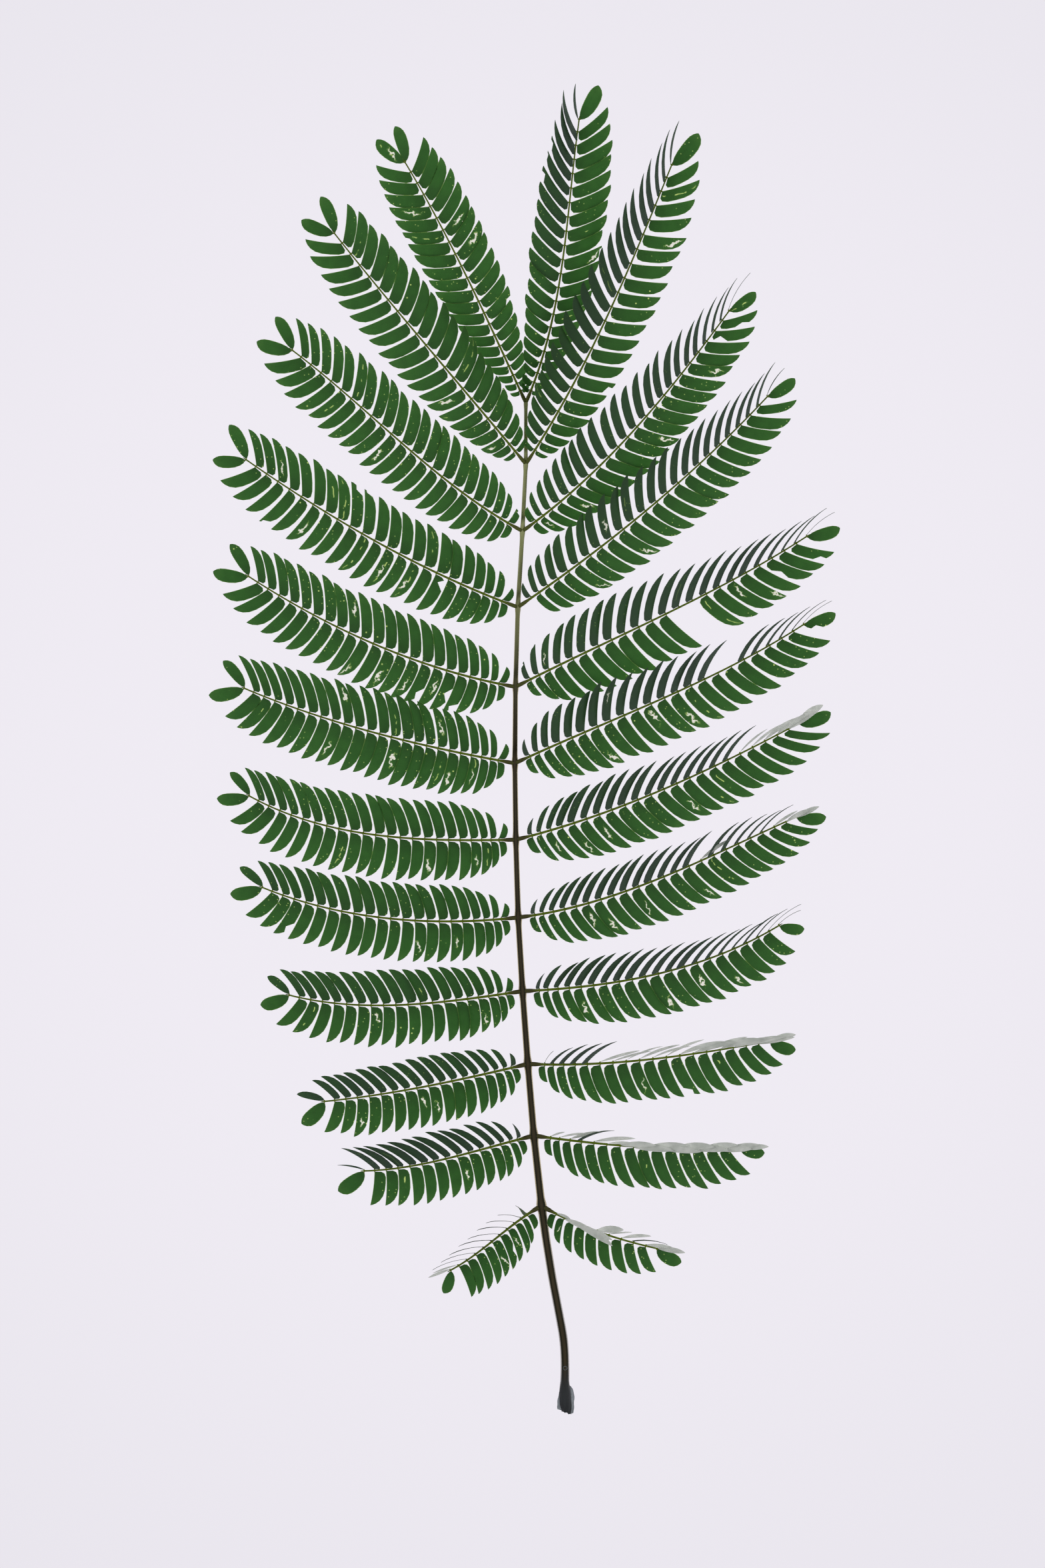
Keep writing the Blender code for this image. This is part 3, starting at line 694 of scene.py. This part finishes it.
def tube_uv(distances, turn):
    """Centimetres along the tube and the share of a turn around it, one row per point."""
    along, around = distances[:, None] / UV_LENGTH, turn[None, :] / (2 * math.pi)
    return np.stack(np.broadcast_arrays(along, around), axis=-1).reshape(-1, 2)


def necks(side_name, number):
    """A closed bead on each leaflet's foot: two end points and three rings, along the blade's start."""
    centres, ways = LEAFLET_FEET[side_name, number]
    sides, rings = NECK_SIDES, len(NECK_RINGS)
    turn = np.tile(circle(sides), rings)
    ring_along, ring_radius = (np.repeat(column, sides) for column in zip(*NECK_RINGS))
    across = np.concatenate([[0.0, 0.0], ring_radius * np.cos(turn)])
    lift = np.concatenate([[0.0, 0.0], ring_radius * np.sin(turn)])
    ahead = np.concatenate([NECK_ENDS, ring_along])
    cos, sin = np.cos(ways)[:, None], np.sin(ways)[:, None]
    beads = np.stack([ahead * cos - across * sin, ahead * sin + across * cos, lift + 0 * cos], axis=-1)
    points = centres[:, None, :] + beads
    quads, near_cap, far_cap = tube_faces(rings, sides)
    quads = (quads + 2)[:, ::-1]
    near, far = near_cap[0][::-1] + 2, far_cap[0] + 2
    foot_end = np.stack([0 * near, near, np.roll(near, -1)], axis=1)
    blade_end = np.stack([0 * far + 1, np.roll(far, -1), far], axis=1)
    tris = np.concatenate([foot_end, blade_end])
    first = (np.arange(len(centres)) * points.shape[1])[:, None, None]
    return points.reshape(-1, 3), [(quads + first).reshape(-1, 4), (tris + first).reshape(-1, 3)]


def side_stalk(side_name, number):
    """Rings across the line; the radius is the stalk's, plus foot and node swellings."""
    length, pairs = PINNAE[side_name, number][0], PINNAE[side_name, number][4]
    distances = np.linspace(0.3, length + 1.2, 8 * pairs)
    centre, heading, radius = stalk_line(side_name, number, distances)
    left, along = across_and_along(heading)
    centre = centre + along * np.maximum(distances - length, 0.0)[:, None]
    foot = (0.20 + 0.010 * number) * np.exp(-(np.abs((distances - 1.6) / 2.0) ** 2.5))
    nodes = pair_places(number, length, pairs)
    near = np.abs(distances[:, None] - nodes[None, :]).min(axis=1)
    knuckle = 0.02 * np.exp(-((near / 0.6) ** 2))
    end = np.sqrt(np.clip((length + 1.3 - distances) / 1.6, 0.02, 1.0))
    radius = (radius + foot + knuckle) * end
    turn = circle(STALK_SIDES)
    ring = left[:, None, :] * np.cos(turn)[None, :, None] + UP * np.sin(turn)[None, :, None]
    tube = (centre[:, None, :] + ring[:, ::-1] * radius[:, None, None]).reshape(-1, 3)
    beads, bead_faces = necks(side_name, number)
    points = np.concatenate([tube, beads])
    uv = np.concatenate([tube_uv(distances, turn), np.tile([1.0, 0.0], (len(beads), 1))])
    marks = {
        "age": np.full(len(points), smooth_step(float(number), 3.0, 7.0)),
        "node": np.repeat([0.0, 1.0], [len(tube), len(beads)]),
    }
    faces = tube_faces(len(distances), STALK_SIDES) + [block + len(tube) for block in bead_faces]
    return make_piece(f"stalk_{side_name}_{number:02d}", points, faces, uv, marks)


stalk_pieces = [side_stalk(*key) for key in PINNAE]
for piece in stalk_pieces:
    place(piece)
print(len(stalk_pieces), "side stalks")

# %% [markdown]
# ## The central stalk
# The central stalk is thickest at its swollen base and thins towards the fork. It is one closed
# tube with a knot wherever a pair of side stalks leaves it. A shallow groove runs along its top.
# Its lower end broke off at a slant, with strips of torn skin beside it, and a small ring scar
# lies a little above.

# %% Build the central stalk
BEYOND_FORK = (0.0, 105.0, 0.42)
STEP_ALONG = 0.8
KNOT_SWELLING, KNOT_REACH = 0.30, 1.5
GROOVE_DEPTH, GROOVE_TURN = 0.14, 0.35
BULB_LENGTH = 9.0
CUT_SLOPE, CUT_TEETH, CUT_REACH = 0.42, 0.22, 2.2


def main_line():
    """Distance walked, then x, y, radius and a mark that is 1 on a knot, for each station."""
    rows = [(*point, 0.0) for point in MAIN_STALK]
    rows += [(*KNOTS[number], 1.0) for number in sorted(KNOTS, reverse=True)]
    rows = np.array(rows + [(*BEYOND_FORK, 0.0)])
    walked = np.concatenate([[0.0], np.cumsum(np.hypot(*np.diff(rows[:, :2], axis=0).T))])
    return walked, rows


def central_stalk():
    """One tube whose radius follows the stations, with a swelling at each knot.

    Its foot is wrinkled and cut at a slant, its crest has a groove, and its underside is flat where
    it rests.
    """
    walked, rows = main_line()
    distances = np.arange(0.0, walked[-1], STEP_ALONG)
    x, y, radius = (np.interp(distances, walked, rows[:, i]) for i in range(3))
    soft = np.ones(9) / 9
    x = np.convolve(np.pad(x, 4, mode="reflect", reflect_type="odd"), soft, mode="valid")
    knots = walked[rows[:, 3] > 0]
    near = np.abs(distances[:, None] - knots[None, :]).min(axis=1)
    radius = radius * (1 + KNOT_SWELLING * np.exp(-((near / KNOT_REACH) ** 2)))
    heading = np.unwrap(np.arctan2(np.gradient(y), np.gradient(x)))
    turn = circle(STEM_SIDES)
    groove = 1 - GROOVE_DEPTH * np.exp(-(((turn - math.pi / 2) / GROOVE_TURN) ** 2))
    base = np.clip(1 - distances / BULB_LENGTH, 0.0, 1.0)[:, None]
    wrinkle = 1 + base * (0.05 * np.sin(5 * turn + 0.4 * distances[:, None]) + 0.03 * np.sin(9 * turn))
    across = np.cos(turn)[None, :] * radius[:, None] * wrinkle
    lift = (np.sin(turn) * groove)[None, :] * radius[:, None] * wrinkle
    lift = np.maximum(lift + 0.95 * radius[:, None], 0.0)
    left = across_and_along(heading)[0][:, None, :2]
    flat = np.stack([x, y], axis=1)[:, None, :] - left * across[..., None]
    cut = CUT_SLOPE * (flat[..., 0] - x[:, None]) + CUT_TEETH * np.sin(7 * turn)[None, :]
    flat[..., 1] -= cut * np.exp(-distances / CUT_REACH)[:, None]
    points = np.concatenate([flat, lift[..., None]], axis=-1).reshape(-1, 3)
    faces = tube_faces(len(distances), STEM_SIDES)
    return make_piece("central_stalk", points, faces, tube_uv(distances, turn))


# %% [markdown]
# When the leaf was pulled off, papery skin tore loose on both sides of its base. A flat strip with
# one ragged edge says that better than more wrinkles on the tube would. The ring scar is where a
# gland or a bud sat, and a torus that follows the crest is enough for it.

# %% Build the torn skin and the ring scar
SKIN_THICKNESS, SKIN_LENGTH, SKIN_REACH = 0.10, 8.4, 2.0
BASE_X, BASE_Y, BASE_HEIGHT = 11.9, -199.0, 1.9
SCAR_X, SCAR_Y, SCAR_HEIGHT = 11.8, -185.6, 2.45
SCAR_RADIUS, SCAR_THICKNESS = 0.58, 0.10


def torn_skin():
    """Two closed strips beside the swollen base: a grid along and across, with a ragged outer edge.

    Each strip is an upper sheet, the same sheet a little lower, and a wall round the edge.
    """
    rows, columns = 22, 5
    along, across = np.meshgrid(np.linspace(0, 1, rows), np.linspace(0, 1, columns), indexing="ij")
    numbers = np.arange(rows * columns).reshape(rows, columns)
    cell = numbers[:-1, :-1].ravel()
    top = np.stack([cell, cell + 1, cell + columns + 1, cell + columns], axis=1)
    edge = np.concatenate([numbers[0], numbers[1:, -1], numbers[-1, -2::-1], numbers[-2:0:-1, 0]])
    after = np.roll(edge, -1)
    blocks, faces = [], []
    for side, phase, narrowing in ((-1, 0.4, 1.4), (1, 2.1, 4.0)):
        ragged = 0.90 + 0.06 * np.sin(7 * along + phase) + 0.04 * np.sin(19 * along + 2 * phase)
        shape = (1.0 - along**narrowing) ** 0.8
        reach = 0.05 + SKIN_REACH * ragged * shape * (0.8 + 0.2 * along)
        x = BASE_X + side * (0.85 + 0.25 * np.sin(math.pi * along) + reach * across)
        y = BASE_Y + SKIN_LENGTH * along - 0.55 * side * (1 - along) + 0.5 * across * (1 - along)
        height = BASE_HEIGHT + 0.9 * across * np.sin(4 * along + phase) - 0.5 * across
        upper = np.stack([x, y, height], axis=-1).reshape(-1, 3)
        count = len(upper)
        wall = np.stack([edge, edge + count, after + count, after], axis=1)
        skin = np.concatenate([top, top[:, ::-1] + count, wall[:, ::-1]])
        skin = skin if side < 0 else skin[:, ::-1]
        faces.append(skin + sum(map(len, blocks)))
        blocks.append(np.concatenate([upper, upper - SKIN_THICKNESS * UP]))
    return make_piece("torn_skin", np.concatenate(blocks), np.concatenate(faces))


def ring_scar():
    """A small ring that lies on the stalk's crest: a thin circle swept round a wider one."""
    steps, sides = 18, 6
    around, turn = np.meshgrid(circle(steps), circle(sides), indexing="ij")
    reach = SCAR_RADIUS + SCAR_THICKNESS * np.cos(turn)
    x, y = SCAR_X + reach * np.cos(around), SCAR_Y + reach * np.sin(around)
    height = SCAR_HEIGHT - 0.35 * (x - SCAR_X) ** 2 + SCAR_THICKNESS * np.sin(turn)
    points = np.stack([x, y, height], axis=-1).reshape(-1, 3)
    a, b = np.meshgrid(np.arange(steps), np.arange(sides), indexing="ij")
    c, d = (a + 1) % steps, (b + 1) % sides
    quads = np.stack([a * sides + b, c * sides + b, c * sides + d, a * sides + d], axis=-1)
    return make_piece("ring_scar", points, quads.reshape(-1, 4))


stem = central_stalk()
place(stem, "rachis")
husk_pieces = [torn_skin(), ring_scar()]
for piece in husk_pieces:
    place(piece)
print("central stalk:", len(stem.data.polygons), "faces")

# %% [markdown]
# ## Shader sums in plain Python
# A material is a graph of nodes, but the sums in it read best as sums. Wire wraps one output
# socket, and its operators add Math nodes. Finish builds every other node through one method.

# %% Wire and Finish
class Wire:
    """One output socket that can be added, subtracted, multiplied and divided."""

    def __init__(self, finish, socket):
        self.finish = finish
        self.socket = socket

    def _sum(self, operation, first, second):
        return self.finish.node("ShaderNodeMath", {"operation": operation}, [first, second])

    def __add__(self, other):
        return self._sum("ADD", self, other)

    def __radd__(self, other):
        return self._sum("ADD", other, self)

    def __sub__(self, other):
        return self._sum("SUBTRACT", self, other)

    def __rsub__(self, other):
        return self._sum("SUBTRACT", other, self)

    def __mul__(self, other):
        return self._sum("MULTIPLY", self, other)

    def __rmul__(self, other):
        return self._sum("MULTIPLY", other, self)

    def __truediv__(self, other):
        return self._sum("DIVIDE", self, other)

    def size(self):
        """The value without its sign."""
        return self.finish.node("ShaderNodeMath", {"operation": "ABSOLUTE"}, [self])

    def step(self, low, high):
        """0 below low, 1 above high, smooth between; low may be the larger one."""
        return self.finish.node("ShaderNodeMapRange", {"interpolation_type": "SMOOTHSTEP"},
                                {"Value": self, "From Min": low, "From Max": high})


class Finish:
    """One material and the node tree that makes it."""

    def __init__(self, name):
        self.material = bpy.data.materials.new(name)
        self.material.use_nodes = True
        self.tree = self.material.node_tree
        self.tree.nodes.clear()
        self.output = self.tree.nodes.new("ShaderNodeOutputMaterial")

    def node(self, kind, settings=None, inputs=(), out=0):
        """A node of the given kind, its settings first and then its sockets; None leaves one alone."""
        made = self.tree.nodes.new(kind)
        for key, value in (settings or {}).items():
            setattr(made, key, value)
        pairs = inputs.items() if isinstance(inputs, dict) else enumerate(inputs)
        for key, value in pairs:
            if isinstance(value, Wire):
                self.tree.links.new(value.socket, made.inputs[key])
            elif value is not None:
                made.inputs[key].default_value = value
        return Wire(self, made.outputs[out])

    def here(self):
        """Object coordinates, in metres."""
        return self.node("ShaderNodeTexCoord", None, (), out=3)

    def mark(self, name):
        """A number that the mesh carries for each point or face."""
        return self.node("ShaderNodeAttribute", {"attribute_name": name}, (), out=2)

    def map_axes(self):
        """The two axes of the piece's own UV map."""
        split = self.node("ShaderNodeSeparateXYZ", None, [self.node("ShaderNodeUVMap")])
        return split, Wire(self, split.socket.node.outputs[1])

    def tint(self, mask, first, second):
        """Colour mix: first where the mask is 0, second where it is 1."""
        first = first if isinstance(first, Wire) else (*first, 1.0)
        second = second if isinstance(second, Wire) else (*second, 1.0)
        return self.node("ShaderNodeMix", {"data_type": "RGBA"}, {0: mask, 6: first, 7: second}, out=2)

    def noise(self, where, scale, detail=3.0):
        """Soft noise between 0 and 1, with this many cells in a metre."""
        return self.node("ShaderNodeTexNoise", None, {"Vector": where, "Scale": scale, "Detail": detail})

    def dots(self, where, scale, outside, inside):
        """Round spots: 0 outside the first distance from a cell's middle and 1 inside the second."""
        from_middle = self.node("ShaderNodeTexVoronoi", {"voronoi_dimensions": "2D"},
                                {"Vector": where, "Scale": scale})
        return from_middle.step(outside, inside)

    def most(self, first, *others):
        """The largest of several values, kept between 0 and 1."""
        largest = {"operation": "MAXIMUM", "use_clamp": True}
        for other in others:
            first = self.node("ShaderNodeMath", largest, [first, other])
        return first

    def skin(self, colour, roughness, height, strength, depth, specular=None):
        """The surface itself: a Principled shader with a bump of the given depth in metres."""
        bump = self.node("ShaderNodeBump", None,
                         {"Strength": strength, "Distance": depth, "Height": height})
        return self.node("ShaderNodeBsdfPrincipled", None,
                         {"Base Color": colour, "Roughness": roughness, "Normal": bump,
                          "Specular IOR Level": specular})

    def glow(self, *colour):
        """Light that comes through from behind."""
        return self.node("ShaderNodeBsdfTranslucent", None, {"Color": (*colour, 1.0)})

    def blend(self, share, first, second):
        """Two shaders joined, with the given share of the second."""
        return self.node("ShaderNodeMixShader", None, [share, first, second])

    def show(self, shader):
        """Send a shader to the material's output."""
        self.tree.links.new(shader.socket, self.output.inputs["Surface"])
        return self.material


# %% [markdown]
# ## The blade's finish
# Light from the table passes through a blade, so one layer glows green and two layers are nearly
# black. A Principled shader carries the surface, a Translucent one carries the light from behind,
# and a Mix Shader joins them. What varies over the blade drives only the Principled colour and the
# Mix factors. The lower skin is paler, and old mines and margins let a yellower light through.
# Blades that stand on edge get painted shade: a dark grey-green colour and less glow.

# %% Leaf green
UPPER_GREENS = (0.018, 0.048, 0.016), (0.030, 0.072, 0.020)
LOWER_GREENS = (0.11, 0.16, 0.09), (0.15, 0.20, 0.12)
# The second colour on this line is painted shade: the dark grey-green for blades that stand on edge.
RIB_GREEN, ON_EDGE_SHADE_GREEN = (0.05, 0.10, 0.035), (0.080, 0.104, 0.096)


def holes(f, where, along, across, tone):
    """Two masks round each leaflet's window: where the blade is gone, and its pale fringe.

    A window is an ellipse on the blade's own map, made ragged by a noise and leaned by the tone.
    """
    window_along, window_across = f.mark("window_along"), f.mark("window_across")
    ragged = f.noise(where, 700.0) - 0.5
    lean = 3.2 * tone - 1.9
    off_along = (along - window_along + 0.20 * ragged) / (0.11 + 0.09 * tone)
    off_across = (across - window_across + 1.1 * ragged + lean * (along - window_along)) / 0.10
    away = off_along * off_along + off_across * off_across
    return away.step(0.85, 0.68), away.step(1.7, 0.9) * 0.6


def yellowed(f, where, along, across, margin, mottle, tone):
    """Share of old yellow skin: the margin and tip, loose specks, crowds of dots, and thin mines."""
    tip = along.step(0.60, 1.10) * 0.16 * mottle + margin * 0.42 + 0.02 * tone
    specks = f.dots(where, 200.0, 0.060, 0.035) * f.noise(where, 95.0, 1.0).step(0.62, 0.68)
    dotted = f.dots(where, 430.0, 0.085, 0.05) * f.noise(where, 70.0, 1.0).step(0.53, 0.59)
    trail = (across - 0.55 - 0.5 * (f.noise(where, 260.0, 2.0) - 0.5)).size().step(0.06, 0.03)
    mine = trail * f.mark("mined") * f.noise(where, 420.0, 1.0).step(0.55, 0.60)
    return tip, specks, dotted * 0.8, mine


def leaf_finish():
    """Green skin and green glow, painted darker where blades stand on edge, then old yellow skin mixed
    in, then the holes.
    """
    f = Finish("leaf_blade")
    along, across = f.map_axes()
    where = f.here()
    tone, under, steep = f.mark("tone"), f.mark("under"), f.mark("steep_shade")
    mottle = f.noise(where, 420.0, 4.0)
    margin = across.step(0.06, 0.0) + across.step(0.93, 1.0)
    rib = (across - RIB_AT).size().step(0.03, 0.0) * (1.0 - steep)
    upper = f.tint(rib * 0.4, f.tint(mottle, *UPPER_GREENS), RIB_GREEN)
    # Painted shade: blades that stand on edge are tinted towards a dark grey-green.
    upper = f.tint(steep * 0.8, upper, ON_EDGE_SHADE_GREEN)
    colour = f.tint(under, upper, f.tint(mottle, *LOWER_GREENS))
    skin = f.skin(colour, 0.55 + 0.15 * mottle, mottle - rib, 0.2, 0.0001, 0.25)
    foot_shade = along.step(0.5, 0.0)
    through = 0.445 + 0.09 * tone + 0.14 * mottle + 0.05 * along - 0.07 * rib - 0.10 * foot_shade
    # Painted shade as well: blades on edge let less of the green glow through.
    blade = f.blend(through * (1.0 - 0.55 * steep), skin, f.glow(0.256, 0.505, 0.212))
    torn, fringe = holes(f, where, along, across, tone)
    old = f.most(fringe, *yellowed(f, where, along, across, margin, mottle, tone))
    # Blades on edge also show less of the yellow glow, as part of the same painted shade.
    blade = f.blend(old * (1.0 - 0.8 * steep), blade, f.glow(0.76, 0.85, 0.46))
    return f.show(f.blend(torn, blade, f.glow(0.97, 0.96, 0.90)))


# %% [markdown]
# The underside of a leaflet is silver with fine hairs. A pale, mottled skin is enough for it. It
# hides most of the light from below, so only a small share of the shader is glow.

# %% Pale underside of the turned leaflets
def turned_finish():
    """Mottled silver skin with a little pale light through it."""
    f = Finish("turned_blade")
    mottle = f.noise(f.here(), 320.0, 4.0)
    colour = f.tint(mottle.step(0.3, 0.7), (0.68, 0.71, 0.66), (0.93, 0.94, 0.90))
    skin = f.skin(colour, 0.45, mottle, 0.3, 0.0002)
    return f.show(f.blend(0.22 + 0.10 * mottle, skin, f.glow(0.88, 0.92, 0.87)))


# %% [markdown]
# ## Stalk finishes
# The side stalks are olive, with a dark cushion at the foot and pale necks. The central stalk is
# dark along its crest and tan below it, grey near the broken end, and turns to a pale green near
# the fork. The map runs in centimetres along a stalk, and a quarter turn round it is the crest.

# %% Stalk finishes
CREST_AT = 0.25
STREAK_SCALE = (1500.0, 60.0, 1500.0)


def side_stalk_finish():
    """Olive along the stalk, darker on the cushion and brighter on the necks."""
    f = Finish("side_stalk_skin")
    along, _ = f.map_axes()
    mottle = f.noise(f.here(), 900.0, 4.0)
    age, neck = f.mark("age"), f.mark("node")
    foot = along.step(0.52, 0.26)
    olive = f.tint(mottle, (0.10, 0.14, 0.012), (0.18, 0.23, 0.03))
    olive = f.tint(neck * 0.7, olive, (0.28, 0.36, 0.04))
    cushion = f.tint(age, (0.095, 0.100, 0.030), (0.075, 0.070, 0.024))
    colour = f.tint(foot * (0.75 + 0.25 * age), olive, cushion)
    skin = f.node("ShaderNodeBsdfPrincipled", None,
                  {"Base Color": colour, "Roughness": 0.6, "Specular IOR Level": 0.12})
    through = (0.30 + 0.2 * neck) * (1.0 - 0.8 * foot)
    return f.show(f.blend(through, skin, f.glow(0.52, 0.68, 0.08)))


def central_stalk_finish():
    """Colours chosen by the distance from the crest and by the place along the stalk."""
    f = Finish("central_stalk_skin")
    along, around = f.map_axes()
    stretched = f.node("ShaderNodeVectorMath", {"operation": "MULTIPLY"}, [f.here(), STREAK_SCALE])
    streak = f.noise(stretched, 1.0, 4.0)

    def streaked(dark, light):
        return f.tint(streak, dark, light)

    from_crest = (around - CREST_AT).size()
    crest = from_crest.step(0.155, 0.125)
    middle = from_crest.step(0.075, 0.035)
    brown = streaked((0.008, 0.008, 0.003), (0.030, 0.027, 0.010))
    brown = f.tint(middle * 0.8, brown, streaked((0.035, 0.027, 0.014), (0.10, 0.075, 0.042)))
    tan = streaked((0.40, 0.33, 0.18), (0.78, 0.66, 0.44))
    tan = f.tint(along.step(7.0, 3.0), tan, streaked((0.42, 0.40, 0.38), (0.80, 0.76, 0.75)))
    green_side = streaked((0.16, 0.17, 0.06), (0.34, 0.35, 0.16))
    green_crest = streaked((0.30, 0.32, 0.12), (0.48, 0.50, 0.26))
    old, fresh = f.tint(crest, tan, brown), f.tint(crest, green_side, green_crest)
    colour = f.tint(along.step(20.5, 27.0), old, fresh)
    broken_end = streaked((0.022, 0.024, 0.026), (0.055, 0.060, 0.064))
    colour = f.tint(along.step(1.6, 0.6), colour, broken_end)
    return f.show(f.skin(colour, 0.55 + 0.2 * streak, streak, 0.5, 0.0002, 0.15))


# %% [markdown]
# The torn skin and the ring scar are dead, papery and grey. Light from the table shines through
# them unevenly, so a noise decides how much of the shader is surface and how much is glow.

# %% Torn skin
def husk_finish():
    """Grey grain, and where the grain is high more of the glow."""
    f = Finish("torn_skin")
    grain = f.noise(f.here(), 900.0, 4.0)
    colour = f.tint(grain.step(0.3, 0.7), (0.13, 0.145, 0.15), (0.36, 0.39, 0.40))
    skin = f.skin(colour, 0.6, grain, 0.5, 0.0002)
    return f.show(f.blend(0.45 + 0.4 * grain, skin, f.glow(0.66, 0.70, 0.71)))


# %% [markdown]
# Each finish is made once and shared by all pieces of its kind, so a change to it shows everywhere.

# %% Dress the pieces
finishes = {
    leaf_finish(): green_pieces,
    turned_finish(): silver_pieces,
    side_stalk_finish(): stalk_pieces,
    central_stalk_finish(): [stem],
    husk_finish(): husk_pieces,
}
for material, dressed in finishes.items():
    for piece in dressed:
        piece.data.materials.append(material)
print(len(finishes), "finishes")

# %% [markdown]
# ## Light table, lights and camera
# The table is a plane that gives off an even pale light, a touch cooler than white and a shade
# darker towards its edges. Two wide, soft lights from the sides catch the upper skins. The camera
# hangs straight above the leaf, as on a copy stand.

# %% Light table
TABLE_HALF, TABLE_HEIGHT = 8000.0, -0.5
TABLE_COLOUR, TABLE_EDGE_COLOUR = (0.866, 0.834, 0.898), (0.810, 0.785, 0.845)


def light_table():
    """A wide square that glows evenly near the leaf and a little less from 0.34 m on."""
    corners = np.array([(-1, -1, 0), (1, -1, 0), (1, 1, 0), (-1, 1, 0)]) * TABLE_HALF
    corners[:, 2] = TABLE_HEIGHT
    table = make_piece("light_table", corners, np.array([[0, 1, 2, 3]]), smooth=False)
    f = Finish("table_glow")
    away = f.node("ShaderNodeVectorMath", {"operation": "LENGTH"}, [f.here()], out=1)
    colour = f.tint(away.step(0.10, 0.34), TABLE_COLOUR, TABLE_EDGE_COLOUR)
    table.data.materials.append(f.show(f.node("ShaderNodeEmission", None, [colour, 1.0])))


def soft_light(name, place_m, power, size_m):
    """A square area light that looks at the middle of the leaf."""
    data = bpy.data.lights.new(name, "AREA")
    data.energy = power
    data.size = size_m
    lamp = bpy.data.objects.new(name, data)
    lamp.location = place_m
    x, y, z = -np.array(place_m)
    lamp.rotation_euler = (math.atan2(math.hypot(x, y), -z), 0.0, math.atan2(x, -y) + math.pi)
    bpy.context.scene.collection.objects.link(lamp)


light_table()
soft_light("left_soft_light", (-1.3, 0.2, 1.1), 12.0, 1.0)
soft_light("right_soft_light", (1.3, -0.2, 1.1), 12.0, 1.0)
print("table and two lights in place")

# %% [markdown]
# The room round the table is dim, so that the upper skins stay dark against the glow. Only where
# the view runs past the table does the room look as pale as the table's edge.

# %% Pale surroundings
ROOM_COLOUR, DIM_COLOUR = (0.81, 0.785, 0.845, 1.0), (0.10, 0.10, 0.105, 1.0)
world = bpy.data.worlds.new("pale_room")
world.use_nodes = True
nodes, links = world.node_tree.nodes, world.node_tree.links
nodes.clear()
choice = nodes.new("ShaderNodeMixShader")
links.new(nodes.new("ShaderNodeLightPath").outputs["Is Camera Ray"], choice.inputs[0])
for socket, colour in ((1, DIM_COLOUR), (2, ROOM_COLOUR)):
    background = nodes.new("ShaderNodeBackground")
    background.inputs[0].default_value = colour
    links.new(background.outputs[0], choice.inputs[socket])
links.new(choice.outputs[0], nodes.new("ShaderNodeOutputWorld").inputs[0])
bpy.context.scene.world = world

# %% [markdown]
# A long lens far away shows the leaf almost without perspective. The height follows from how much
# of the table the frame should cover.

# %% Camera
FRAME_HEIGHT = 470.4
AIM_X, AIM_Y = -1.0, -10.6
camera = bpy.data.objects.new("copy_stand_camera", bpy.data.cameras.new("copy_stand_camera"))
camera.data.lens = 135.0
camera.data.sensor_width = 36.0
height = FRAME_HEIGHT * MM * camera.data.lens / camera.data.sensor_width
camera.location = (AIM_X * MM, AIM_Y * MM, height)
camera.data.clip_end = 50.0
bpy.context.scene.collection.objects.link(camera)
bpy.context.scene.camera = camera
bpy.context.scene.view_settings.view_transform = "Standard"
print("camera %.2f m above the table" % height)
